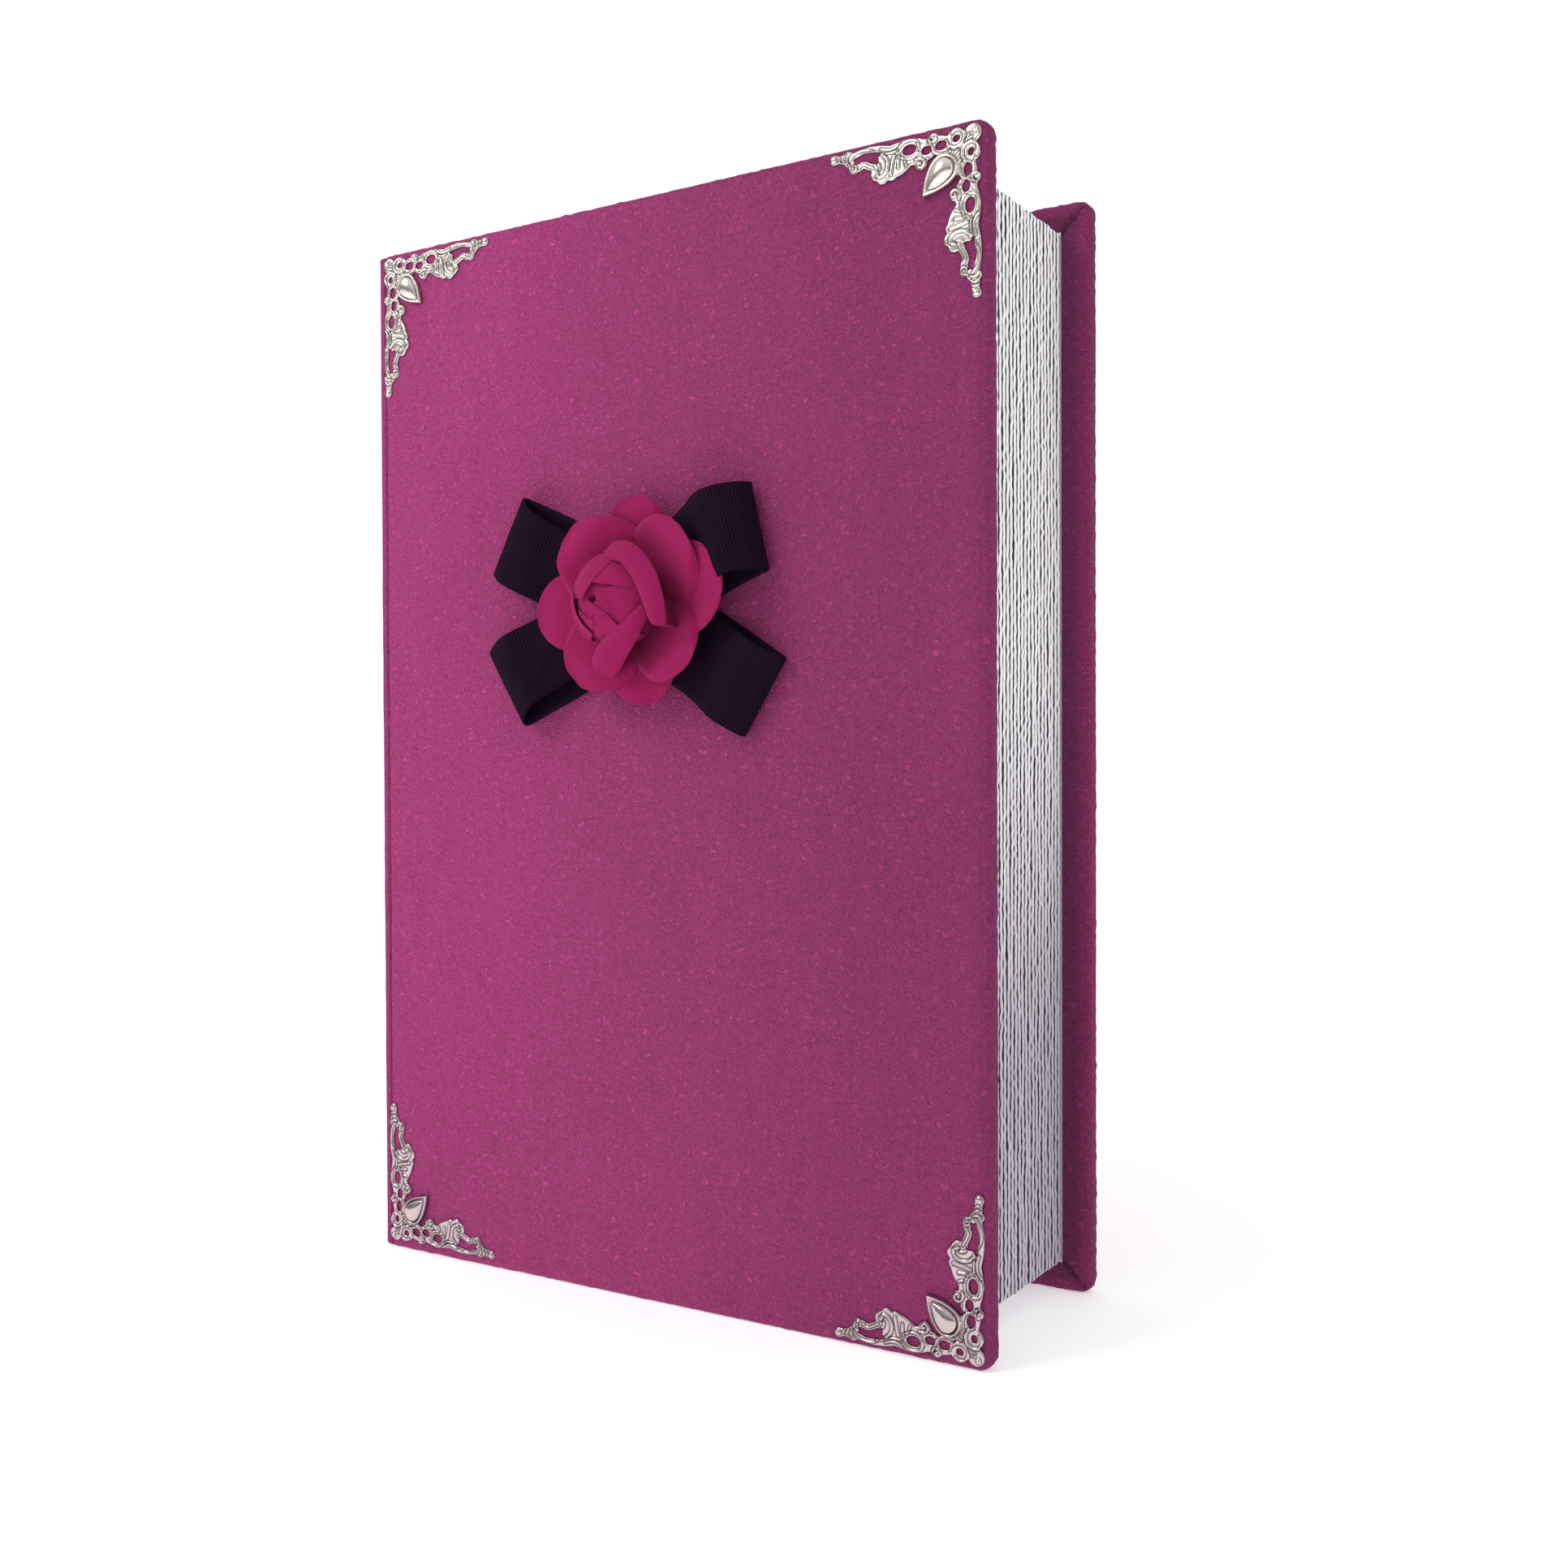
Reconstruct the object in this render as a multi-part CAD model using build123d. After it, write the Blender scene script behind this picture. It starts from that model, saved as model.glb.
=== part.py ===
"""A thick velvet guest book standing upright, with silver corners, a bow and a rose.

Millimetres. +Z is up, the front cover faces -Y, and the spine is on the -X side.
The origin is the middle of the whole object's box, on the surface that it stands on.
"""
from build123d import *
from math import radians, sin
import os

# Driving dimensions of the case
book_width = 214.0          # spine face to the covers' fore-edge
book_height = 317.0         # covers, bottom edge to top edge
book_thickness = 76.0       # over both covers, without the flower
cover_thickness = 6.0       # board and velvet together
velvet_thickness = 1.2
spine_thickness = 3.8       # board and velvet together
spine_recess = 1.4          # spine edge behind the covers' outer faces
edge_round = 1.8            # soft edge of the wrapped boards
corner_round = 4.0          # corner of a cover, seen from the front
spine_corner_round = 1.5    # a cover's corner beside the spine
turn_in = 18.0              # velvet turned onto the inside of a cover
spine_turn_in = 8.0         # the same beside the spine

# Cloth joints
joint_gap = 0.4             # hinge line to the edge of the cover
joint_cloth = 0.3           # thickness of the cloth in the joint
joint_end_gap = 0.5         # joint cloth is this much shorter at each end

# Leaves
leaf_count = 26
leaf_pitch = 2.42
leaf_thickness = 1.5
leaf_height = 300.0
fore_edge_overhang = 8.8    # covers beyond the leaves at the fore-edge
guard_width = 12.0          # cloth between the lining and the card
guard_thickness = 0.35
guard_bead = 0.4            # radius of the glued root of a guard
guard_gap = 0.05            # between the root and the lining
lining_thickness = 0.5      # inside the spine
end_paper = 0.3             # inside a cover, over the turn-ins

# Stamped corners
corner_plate = 0.7
corner_leg = 42.5
cabochon_height = 2.6
corner_setback = {          # (x, z) of each corner's tip, in from the book's two edges
    "corner_top_left": (4.35, 1.3),
    "corner_top_right": (1.7, 1.2),
    "corner_bottom_left": (4.35, 2.4),
    "corner_bottom_right": (1.5, 1.3),
}

# Bow and rose
ribbon_width = 25.0
ribbon_thickness = 0.6
bow_x, bow_z = 0.5, 198.0
bow_hub = 8.0               # where the loops start, from the middle of the bow
gather_slope = 0.45         # half width of a gathered ribbon over the distance from the middle
rose_x, rose_z = 2.0, 200.5
rose_height = 22.0          # above the front cover
petal_thickness = 1.0
petal_inner_round = 9.0
stem_radius = 2.0
backing_radius = 7.4
backing_low, backing_high = 1.7, 3.4
bud_low = 12.0              # underside of the bud, above the front cover

# Places worked out from them. Y runs from the middle of the book's thickness.
half_width = book_width / 2
half_thickness = book_thickness / 2
hinge_x = -half_width + spine_thickness
hinge_y = half_thickness - joint_cloth
cover_start = hinge_x + joint_gap
leaf_bottom = (book_height - leaf_height) / 2
leaf_end = half_width - fore_edge_overhang
lining_face = hinge_x + lining_thickness
leaf_axis_x = lining_face + guard_bead + guard_gap
inner_face = half_thickness - cover_thickness
middle_y = rose_height / 2      # brings the middle of the whole box to Y = 0
on_ground = (Align.CENTER, Align.CENTER, Align.MIN)


def block(x_range, y_range, z_range):
    """A box given by its limits."""
    spans = (x_range, y_range, z_range)
    sizes = [high - low for low, high in spans]
    centre = [(high + low) / 2 for low, high in spans]
    return Pos(*centre) * Box(*sizes)


def save(node, shape):
    """Write one node, moved so that the whole object is centred on the origin."""
    export_step(Pos(0, middle_y, 0) * shape, f"parts/{node}.step")


def on_front(shape, x, z, turn=0.0):
    """Stand a piece that was drawn flat, Z outwards, on the front cover at (x, z)."""
    return Pos(x, -half_thickness, z) * Rot(90, 0, 0) * Rot(0, 0, turn) * shape


# ---------------------------------------------------------------- covers

def cover_slab(margin, low_y, high_y, softened):
    """A cover-shaped slab for the front, set in from the cover's edges by margin."""
    left = cover_start + margin
    right = half_width - margin
    width = right - left
    height = book_height - 2 * margin
    slab = Pos((left + right) / 2, high_y, book_height / 2) * Rot(90, 0, 0) * extrude(
        Rectangle(width, height), high_y - low_y)
    upright = slab.edges().filter_by(Axis.Y).sort_by(Axis.X)
    slab = fillet(upright[2:], corner_round - margin)
    upright = slab.edges().filter_by(Axis.Y).sort_by(Axis.X)
    slab = fillet(upright[:2], max(spine_corner_round - margin, 0.3))
    if softened:
        rims = slab.faces().sort_by(Axis.Y)
        slab = fillet(rims[0].edges() + rims[-1].edges(), edge_round)
    return slab


def front_cover_pieces():
    """Board, velvet wrap and lining of the front cover."""
    outer_y = -half_thickness
    inner_y = -inner_face
    board = cover_slab(velvet_thickness, outer_y + velvet_thickness, inner_y - velvet_thickness, False)
    window = block(
        (cover_start + spine_turn_in, half_width - turn_in),
        (inner_y - velvet_thickness, inner_y),
        (turn_in, book_height - turn_in))
    velvet = cover_slab(0.0, outer_y, inner_y, True) - board - window
    paper = block(
        (leaf_axis_x + 1.5, leaf_end),
        (inner_y, inner_y + end_paper),
        (leaf_bottom, leaf_bottom + leaf_height))
    return {"board": board, "cover_velvet": velvet, "lining": window + paper}


def make_covers():
    """Both covers: the back one is the front one's mirror image."""
    for piece, shape in front_cover_pieces().items():
        save(f"front_{piece}", shape)
        save(f"back_{piece}", mirror(shape, about=Plane.XZ))


# ---------------------------------------------------------------- spine and joints

def make_spine():
    """Spine board, the velvet round it and the lining that the leaves hang on."""
    spine_y = half_thickness - spine_recess
    board = block(
        (-half_width + velvet_thickness, hinge_x),
        (-spine_y + velvet_thickness, spine_y - velvet_thickness),
        (velvet_thickness, book_height - velvet_thickness))
    velvet = block((-half_width, hinge_x), (-spine_y, spine_y), (0, book_height))
    outer_rim = velvet.faces().sort_by(Axis.X)[0].edges()
    velvet = fillet(outer_rim, edge_round) - board
    lining = block(
        (hinge_x, lining_face),
        (-(leaf_count * leaf_pitch) / 2, (leaf_count * leaf_pitch) / 2),
        (leaf_bottom, leaf_bottom + leaf_height))
    save("spine_board", board)
    save("spine_velvet", velvet)
    save("spine_lining", lining)


def make_joint_cloths():
    """Cloth joint at each cover: a strip on the spine with a rounded hinge line."""
    length = book_height - 2 * joint_end_gap
    roll = Pos(hinge_x, -hinge_y, book_height / 2) * Cylinder(joint_cloth, length)
    strip = block(
        (hinge_x, hinge_x + joint_cloth),
        (-hinge_y, -inner_face),
        (joint_end_gap, book_height - joint_end_gap))
    cloth = roll + strip
    save("front_joint_cloth", cloth)
    save("back_joint_cloth", mirror(cloth, about=Plane.XZ))


# ---------------------------------------------------------------- leaves

def leaf(level_y):
    """One card leaf with its cloth guard and the rounded root that it turns on."""
    z_range = (leaf_bottom, leaf_bottom + leaf_height)
    card = block(
        (leaf_axis_x + guard_width, leaf_end),
        (level_y - leaf_thickness / 2, level_y + leaf_thickness / 2), z_range)
    guard = block(
        (leaf_axis_x, leaf_axis_x + guard_width),
        (level_y - guard_thickness / 2, level_y + guard_thickness / 2), z_range)
    root = Pos(leaf_axis_x, level_y, book_height / 2) * Cylinder(guard_bead, leaf_height)
    return card + guard + root


def make_leaves():
    """All leaves, from the front of the book to the back."""
    first = -(leaf_count - 1) / 2 * leaf_pitch
    for number in range(leaf_count):
        save(f"leaf_{number + 1:02d}", leaf(first + number * leaf_pitch))


# ---------------------------------------------------------------- stamped corners

def corner_outline():
    """Outline of a stamped corner with legs along +X and +Y from its tip."""
    outer = [(0.4, 0.4), (8.0, 0.2), (15.0, 0.5), (22.0, 0.1), (30.0, 0.6), (37.5, 0.9)]
    leg_tip = [(corner_leg, 2.2), (38.0, 4.0)]
    inner = [(34.0, 5.4), (30.5, 6.4), (29.8, 9.6), (26.8, 10.8), (24.0, 9.4), (21.5, 7.4), (18.6, 8.2)]
    half = outer + leg_tip + inner
    cabochon_tip = (17.6, 17.6)
    other_half = [(y, x) for x, y in reversed(half[1:])]
    points = half + [cabochon_tip] + other_half
    return make_face(Polyline(*points, close=True))


def corner_holes():
    """Openings of one leg, as flat faces: their mirror images are the other leg's."""
    holes = [
        Pos(5.6, 3.4) * Circle(1.0),
        Pos(9.8, 4.3) * Ellipse(1.4, 1.2),
        Pos(14.2, 4.4) * Ellipse(1.4, 1.2),
        Pos(18.7, 2.9) * Ellipse(1.9, 1.2),
        Pos(31.2, 3.2) * Ellipse(3.2, 1.1),
    ]
    diagonal = Plane(origin=(0, 0, 0), z_dir=(1, -1, 0))
    return holes + [mirror(hole, about=diagonal) for hole in holes]


def stamped_corner():
    """One stamped corner lying flat, its back on Z = 0, with a domed cabochon."""
    plate = extrude(corner_outline(), corner_plate)
    for hole in corner_holes():
        plate -= extrude(hole, corner_plate)
    dome = scale(Sphere(1.0), by=(5.2, 4.2, cabochon_height))
    dome = split(dome, bisect_by=Plane.XY, keep=Keep.TOP)
    return plate + Pos(12.0, 12.0, 0) * Rot(0, 0, 45) * dome


def make_corners():
    """A stamped corner at each corner of the front cover."""
    corner = stamped_corner()
    turns = {
        "corner_bottom_left": (-1, 0, 0.0), "corner_bottom_right": (1, 0, 90.0),
        "corner_top_right": (1, 1, 180.0), "corner_top_left": (-1, 1, 270.0),
    }
    for node, (side, top, turn) in turns.items():
        in_x, in_z = corner_setback[node]
        x = side * (half_width - in_x)
        z = book_height - in_z if top else in_z
        save(node, on_front(corner, x, z, turn))


# ---------------------------------------------------------------- bow

def ribbon_loop(reach, height):
    """One flattened loop of ribbon along +X, drawn flat with Z outwards."""
    low = 0.1
    hub_top = 2.0
    fold = 1.6
    shoulder = (31.0, 8.2)
    side = [
        Line((bow_hub, low), (reach - fold, low)),
        ThreePointArc((reach - fold, low), (reach, low + fold), (reach - fold, low + 2 * fold)),
        ThreePointArc((reach - fold, low + 2 * fold), (reach - 8.0, height), shoulder),
        Line(shoulder, (bow_hub, hub_top)),
        Line((bow_hub, hub_top), (bow_hub, low)),
    ]
    profile = make_face(Wire(side))
    band = profile - offset(profile, -ribbon_thickness)
    loop = Rot(90, 0, 0) * extrude(band, ribbon_width / 2, both=True)
    full = ribbon_width / 2
    narrow = gather_slope * bow_hub
    widest_from = full / gather_slope
    gather = make_face(Polyline(
        (bow_hub, -narrow), (widest_from, -full), (reach + 1, -full),
        (reach + 1, full), (widest_from, full), (bow_hub, narrow), close=True))
    return loop & extrude(gather, height + fold)


def ribbon(loops, strip_low):
    """A ribbon with a loop at each end, joined by a flat strip across the middle."""
    strip_high = strip_low + ribbon_thickness
    half_strip = gather_slope * bow_hub - 0.6
    strip = block((-bow_hub, bow_hub), (-half_strip, half_strip), (strip_low, strip_high))
    strip = Rot(0, 0, loops[0][0]) * strip
    pieces = [Rot(0, 0, angle) * ribbon_loop(reach, height) for angle, reach, height in loops]
    return pieces[0] + strip + pieces[1]


def make_bow():
    """Two ribbons, crossed under the rose."""
    falling = ribbon([(152.6, 52.0, 10.0), (-30.0, 51.0, 9.5)], 0.1)
    rising = ribbon([(27.1, 47.2, 11.6), (204.4, 50.0, 10.0)], 1.0)
    save("ribbon_falling", on_front(falling, bow_x, bow_z))
    save("ribbon_rising", on_front(rising, bow_x, bow_z))


# ---------------------------------------------------------------- rose

def petal(direction, spread, base, cup_radius, inner_radius, tip_radius):
    """A petal: a sector of a round cup on the stem, trimmed to a rounded tip.

    The cup is a ball of cup_radius whose lowest point is at height base.
    """
    centre_z = base + cup_radius
    shell = Sphere(cup_radius) - Sphere(cup_radius - petal_thickness)
    shell = Pos(0, 0, centre_z) * shell
    lobe_radius = (tip_radius - inner_radius) / 2 + petal_inner_round / 2
    lobe = Pos(tip_radius - lobe_radius, 0, 0) * Cylinder(lobe_radius, rose_height, align=on_ground)
    reach = 3 * tip_radius
    side = reach * sin(radians(spread / 2))
    wedge = make_face(Polyline((0, 0), (reach, -side), (reach, side), close=True))
    prism = extrude(wedge, centre_z)
    hole = Cylinder(inner_radius, rose_height, align=on_ground)
    return Rot(0, 0, direction) * ((shell & prism & lobe) - hole)


def bud_wrap(direction, radius, low, high):
    """A petal rolled round the bud: a third of a thin upright tube."""
    wall = Cylinder(radius, high - low) - Cylinder(radius - petal_thickness + 0.2, high - low)
    reach = 2 * radius
    wedge = make_face(Polyline((0, 0), (reach, -reach), (reach, reach), close=True))
    wall = Pos(0, 0, (low + high) / 2) * wall
    return Rot(0, 0, direction) * (wall & extrude(wedge, high))


def save_on_rose(node, shape):
    """Write a piece that was drawn about the rose's own axis."""
    save(node, on_front(shape, rose_x, rose_z))


def make_rose():
    """Fabric rose: backing, three layers of petals and a folded bud."""
    backing = Pos(0, 0, backing_low) * Cylinder(backing_radius, backing_high - backing_low, align=on_ground)
    save("rose_backing", on_front(backing, bow_x, bow_z))
    for number in range(4):
        outer = petal(80.0 - 90.0 * number, 80.0, 3.8, 80.0, stem_radius, 30.5)
        save_on_rose(f"rose_outer_petal_{number + 1}", outer)
        middle = petal(125.0 - 90.0 * number, 80.0, 5.4, 34.0, stem_radius, 25.0)
        save_on_rose(f"rose_middle_petal_{number + 1}", middle)
    for number, direction in enumerate((20.0, -75.0)):
        inner = petal(direction, 76.0, 7.0, 15.0, stem_radius, 13.5)
        save_on_rose(f"rose_inner_petal_{number + 1}", inner)
    for number, direction in enumerate((150.0, 30.0, -90.0)):
        wrap = bud_wrap(direction, 8.6, bud_low, 19.0)
        save_on_rose(f"rose_bud_wrap_{number + 1}", wrap)
    stem = Pos(0, 0, backing_high) * Cylinder(stem_radius, rose_height - backing_high - 2, align=on_ground)
    bud = Pos(0, 0, bud_low) * Cone(7.0, 4.0, rose_height - bud_low, align=on_ground)
    bud = fillet(bud.edges().sort_by(Axis.Z)[-1], 2.0)
    save_on_rose("rose_bud_core", stem + bud)


os.makedirs("parts", exist_ok=True)
make_covers()
make_spine()
make_joint_cloths()
make_leaves()
make_corners()
make_bow()
make_rose()
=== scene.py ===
# %% [markdown]
# # A velvet guest book
# A thick guest book stands upright. It has velvet covers, silver corners, leaves with silvered
# edges, and a ribbon bow under a fabric rose. The hard parts were made in CAD, and this lesson
# gives them their looks: it keeps their places and makes each soft or stamped piece as a surface.

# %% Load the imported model
import math

import bmesh
import bpy
import numpy as np
from mathutils import Matrix, Vector


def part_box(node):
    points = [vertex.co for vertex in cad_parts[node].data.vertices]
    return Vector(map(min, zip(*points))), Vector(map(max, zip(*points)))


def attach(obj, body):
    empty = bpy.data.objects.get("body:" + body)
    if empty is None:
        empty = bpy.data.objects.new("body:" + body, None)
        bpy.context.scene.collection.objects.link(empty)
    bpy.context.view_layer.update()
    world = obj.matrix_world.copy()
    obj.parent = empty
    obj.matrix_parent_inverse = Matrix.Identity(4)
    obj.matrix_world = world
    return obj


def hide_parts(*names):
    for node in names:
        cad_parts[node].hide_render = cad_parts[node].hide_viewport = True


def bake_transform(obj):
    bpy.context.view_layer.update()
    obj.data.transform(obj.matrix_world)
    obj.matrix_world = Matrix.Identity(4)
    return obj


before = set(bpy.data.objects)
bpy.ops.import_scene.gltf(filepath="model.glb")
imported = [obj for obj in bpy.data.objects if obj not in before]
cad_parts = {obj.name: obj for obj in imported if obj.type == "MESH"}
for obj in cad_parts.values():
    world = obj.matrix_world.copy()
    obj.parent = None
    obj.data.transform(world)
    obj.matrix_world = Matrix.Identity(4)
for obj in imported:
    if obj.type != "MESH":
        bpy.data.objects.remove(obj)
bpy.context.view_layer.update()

# %% [markdown]
# ## Measures
# The lesson works in millimetres and turns them into metres only when a mesh is made. The places
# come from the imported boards, so a new piece lands where its CAD solid is, with no fitting.

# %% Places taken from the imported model
def box_mm(node):
    """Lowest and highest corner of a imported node, in millimetres."""
    return np.array(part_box(node)) * 1000.0


spine_box = box_mm("spine_velvet")
front_box = box_mm("front_cover_velvet")
back_box = box_mm("back_cover_velvet")
front_face = front_box[0, 1]
front_inside = front_box[1, 1]
back_face = back_box[1, 1]
back_inside = back_box[0, 1]
hinge_x = spine_box[1, 0]
print("front face y", round(front_face, 2), "back face y", round(back_face, 2))

# %% [markdown]
# ## Camera, floor and light
# The camera stands to the right of the book at half its height and looks slightly down. A large
# pale floor, an even white room, a soft lamp at the upper left and a weaker one at the right give
# plain studio light. The room is brighter overhead than at eye level, so the silver has something
# dark to reflect.

# %% Camera
def camera_matrix(place, yaw, pitch, roll):
    """Camera matrix: the axes are turned by yaw about Z, tilted by pitch and rolled by roll."""
    yaw, pitch, roll = (math.radians(angle) for angle in (yaw, pitch, roll))
    ahead = np.array([math.sin(yaw), math.cos(yaw), 0.0])
    right = np.array([math.cos(yaw), -math.sin(yaw), 0.0])
    up = np.array([0.0, 0.0, 1.0])
    forward = ahead * math.cos(pitch) + up * math.sin(pitch)
    above = up * math.cos(pitch) - ahead * math.sin(pitch)
    side = right * math.cos(roll) + above * math.sin(roll)
    top = above * math.cos(roll) - right * math.sin(roll)
    matrix = Matrix.Identity(4)
    for row in range(3):
        matrix[row][:] = (side[row], top[row], -forward[row], place[row])
    return matrix


camera_place = (0.27352, -0.39699, 0.15556)
camera_yaw = -31.576
camera_pitch = -0.828
camera_roll = -0.2225
scene = bpy.context.scene
camera_data = bpy.data.cameras.new("camera")
camera_data.lens = 36.734
camera_data.sensor_width = 36.0
camera_data.clip_start = 0.01
camera = bpy.data.objects.new("camera", camera_data)
scene.collection.objects.link(camera)
camera.matrix_world = camera_matrix(camera_place, camera_yaw, camera_pitch, camera_roll)
scene.camera = camera
scene.view_settings.view_transform = "Standard"
print("lens", camera_data.lens, "mm")

# %% [markdown]
# ## Shader words
# A material is a net of nodes. One small class wraps a socket, so that sums read as sums, and one
# method adds any other node. Every finish below is written with these two.

# %% Wire and Finish
class Wire:
    """An output socket that takes part in sums: each operator adds one Math node."""

    def __init__(self, finish, socket):
        self.finish = finish
        self.socket = socket

    def math(self, operation, *others):
        """One Math node: this wire first, then the others, numbers or wires."""
        values = {0: self}
        for index, other in enumerate(others):
            values[index + 1] = other
        return self.finish.add("ShaderNodeMath", {"operation": operation}, values)

    def clamp(self):
        """The same value, held between 0 and 1."""
        settings = {"operation": "MULTIPLY", "use_clamp": True}
        return self.finish.add("ShaderNodeMath", settings, {0: self, 1: 1.0})

    def ramp(self, low, high):
        """0 below low, 1 above high, smooth in between."""
        settings = {"interpolation_type": "SMOOTHSTEP"}
        values = {"Value": self, "From Min": low, "From Max": high}
        return self.finish.add("ShaderNodeMapRange", settings, values)

    def __add__(self, other):
        return self.math("ADD", other)

    def __sub__(self, other):
        return self.math("SUBTRACT", other)

    def __mul__(self, other):
        return self.math("MULTIPLY", other)

    def __rsub__(self, other):
        return self.finish.add("ShaderNodeMath", {"operation": "SUBTRACT"}, {0: other, 1: self})

    __radd__ = __add__
    __rmul__ = __mul__


class Finish:
    """A material under construction."""

    def __init__(self, name):
        self.material = bpy.data.materials.new(name)
        self.material.use_nodes = True
        self.tree = self.material.node_tree
        self.tree.nodes.clear()
        self.place = self.add("ShaderNodeTexCoord", {}, {}, "Object")

    def add(self, kind, settings, values, out=0):
        """Add a node: settings first, then its sockets' values or links. Gives an output."""
        node = self.tree.nodes.new(kind)
        for key, value in settings.items():
            setattr(node, key, value)
        for key, value in values.items():
            if isinstance(value, Wire):
                self.tree.links.new(value.socket, node.inputs[key])
            else:
                node.inputs[key].default_value = value
        if out is None:
            return node
        return Wire(self, node.outputs[out])

    def stretch(self, x, y, z):
        """The object's own coordinates, stretched: a pattern size of 1 / number metres."""
        settings = {"operation": "MULTIPLY"}
        return self.add("ShaderNodeVectorMath", settings, {0: self.place, 1: (x, y, z)})

    def noise(self, where, scale=1.0, detail=2.0, roughness=0.5, distortion=0.0):
        """Cloudy noise from 0 to 1, mostly near one half."""
        values = {
            "Vector": where, "Scale": scale, "Detail": detail,
            "Roughness": roughness, "Distortion": distortion,
        }
        return self.add("ShaderNodeTexNoise", {}, values)

    def mix(self, share, first, second, mode="MIX"):
        """Two colours blended: the first at share 0, the second at share 1."""
        settings = {"data_type": "RGBA", "blend_type": mode}
        return self.add("ShaderNodeMix", settings, {0: share, 6: first, 7: second}, 2)

    def axis(self, index):
        """The place along X, Y or Z, in metres."""
        return self.add("ShaderNodeSeparateXYZ", {}, {0: self.place}, index)

    def attribute(self, name):
        """A mark that the mesh holds for each point."""
        return self.add("ShaderNodeAttribute", {"attribute_name": name}, {}, "Fac")

    def bump(self, height, distance, strength=1.0):
        """A normal tilted as if the surface rose by height times distance metres."""
        values = {"Height": height, "Distance": distance, "Strength": strength}
        return self.add("ShaderNodeBump", {}, values)

    def surface(self, varying, fixed):
        """Close the material: varying sockets are linked, fixed ones hold plain numbers."""
        values = {**fixed, **varying}
        shader = self.add("ShaderNodeBsdfPrincipled", {}, values)
        self.add("ShaderNodeOutputMaterial", {}, {"Surface": shader}, None)
        return self.material


def srgb(red, green, blue):
    """A screen colour, 0 to 255, as the linear colour that a shader wants."""
    parts = []
    for part in (red, green, blue):
        part = part / 255
        parts.append(part / 12.92 if part <= 0.04045 else ((part + 0.055) / 1.055) ** 2.4)
    return (*parts, 1.0)


def shade(colour, factor):
    """A colour made lighter or darker."""
    return (colour[0] * factor, colour[1] * factor, colour[2] * factor, 1.0)

# %% Room light, lamp and floor
world = bpy.data.worlds.new("room")
world.use_nodes = True
scene.world = world
room = world.node_tree
room.nodes.clear()
room_nodes = {}
for label, kind in (
    ("place", "ShaderNodeTexCoord"), ("split", "ShaderNodeSeparateXYZ"),
    ("height", "ShaderNodeMapRange"), ("ramp", "ShaderNodeValToRGB"),
    ("light", "ShaderNodeBackground"), ("white", "ShaderNodeBackground"),
    ("path", "ShaderNodeLightPath"), ("choose", "ShaderNodeMixShader"),
    ("out", "ShaderNodeOutputWorld"),
):
    room_nodes[label] = room.nodes.new(kind)
room_nodes["height"].inputs["From Min"].default_value = -1.0
room_stops = room_nodes["ramp"].color_ramp.elements
room_stops[0].position = 0.0
room_stops[0].color = (0.75, 0.75, 0.77, 1)
room_stops[1].position = 1.0
room_stops[1].color = (0.85, 0.85, 0.85, 1)
for position, grey in ((0.44, 0.50), (0.52, 0.16), (0.60, 0.26), (0.75, 0.62)):
    room_stops.new(position).color = (grey, grey, grey * 1.02, 1)
room_nodes["light"].inputs["Strength"].default_value = 1.0
room_nodes["white"].inputs["Color"].default_value = (1, 1, 1, 1)
for source, out, target, socket in (
    ("place", "Generated", "split", 0), ("split", 2, "height", "Value"), ("height", 0, "ramp", 0),
    ("ramp", 0, "light", "Color"), ("path", "Is Camera Ray", "choose", 0),
    ("light", 0, "choose", 1), ("white", 0, "choose", 2), ("choose", 0, "out", 0),
):
    room.links.new(room_nodes[source].outputs[out], room_nodes[target].inputs[socket])


def soft_lamp(name, place, aim, size, power):
    """A square soft lamp at place, turned so that it faces aim."""
    data = bpy.data.lights.new(name, "AREA")
    data.size = size
    data.energy = power
    lamp = bpy.data.objects.new(name, data)
    scene.collection.objects.link(lamp)
    back = np.array(place) - np.array(aim)
    turned = Vector(back).to_track_quat("Z", "Y").to_matrix().to_4x4()
    lamp.matrix_world = Matrix.Translation(place) @ turned


lamp_aim = (0, 0, 0.15)
soft_lamp("key_lamp", (-0.8, -1.1, 1.2), lamp_aim, 0.7, 9.5)
soft_lamp("fill_lamp", (1.9, -0.5, 0.8), lamp_aim, 1.0, 3.2)
floor_half = 60
floor_corners = [(x * floor_half, y * floor_half, 0) for x, y in ((-1, -1), (1, -1), (1, 1), (-1, 1))]
floor_mesh = bpy.data.meshes.new("floor")
floor_mesh.from_pydata(floor_corners, [], [(0, 1, 2, 3)])
floor = bpy.data.objects.new("floor", floor_mesh)
scene.collection.objects.link(floor)
floor_finish = Finish("pale_floor")
floor_grain = floor_finish.noise(floor_finish.place, 3.0)
floor_colour = floor_finish.mix(floor_grain, (0.93, 0.93, 0.93, 1), (0.95, 0.95, 0.95, 1))
floor_mesh.materials.append(floor_finish.surface(
    {"Base Color": floor_colour},
    {"Roughness": 0.8, "Emission Color": (1, 1, 1, 1), "Emission Strength": 0.42},
))
print("lamps:", len(bpy.data.lights))

# %% [markdown]
# ## Mesh words
# A surface is a grid of points, and its faces join each point to the next along and across. Grids
# that close on themselves wrap round. Points that meet, as at a pole, are merged at the end.

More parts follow.
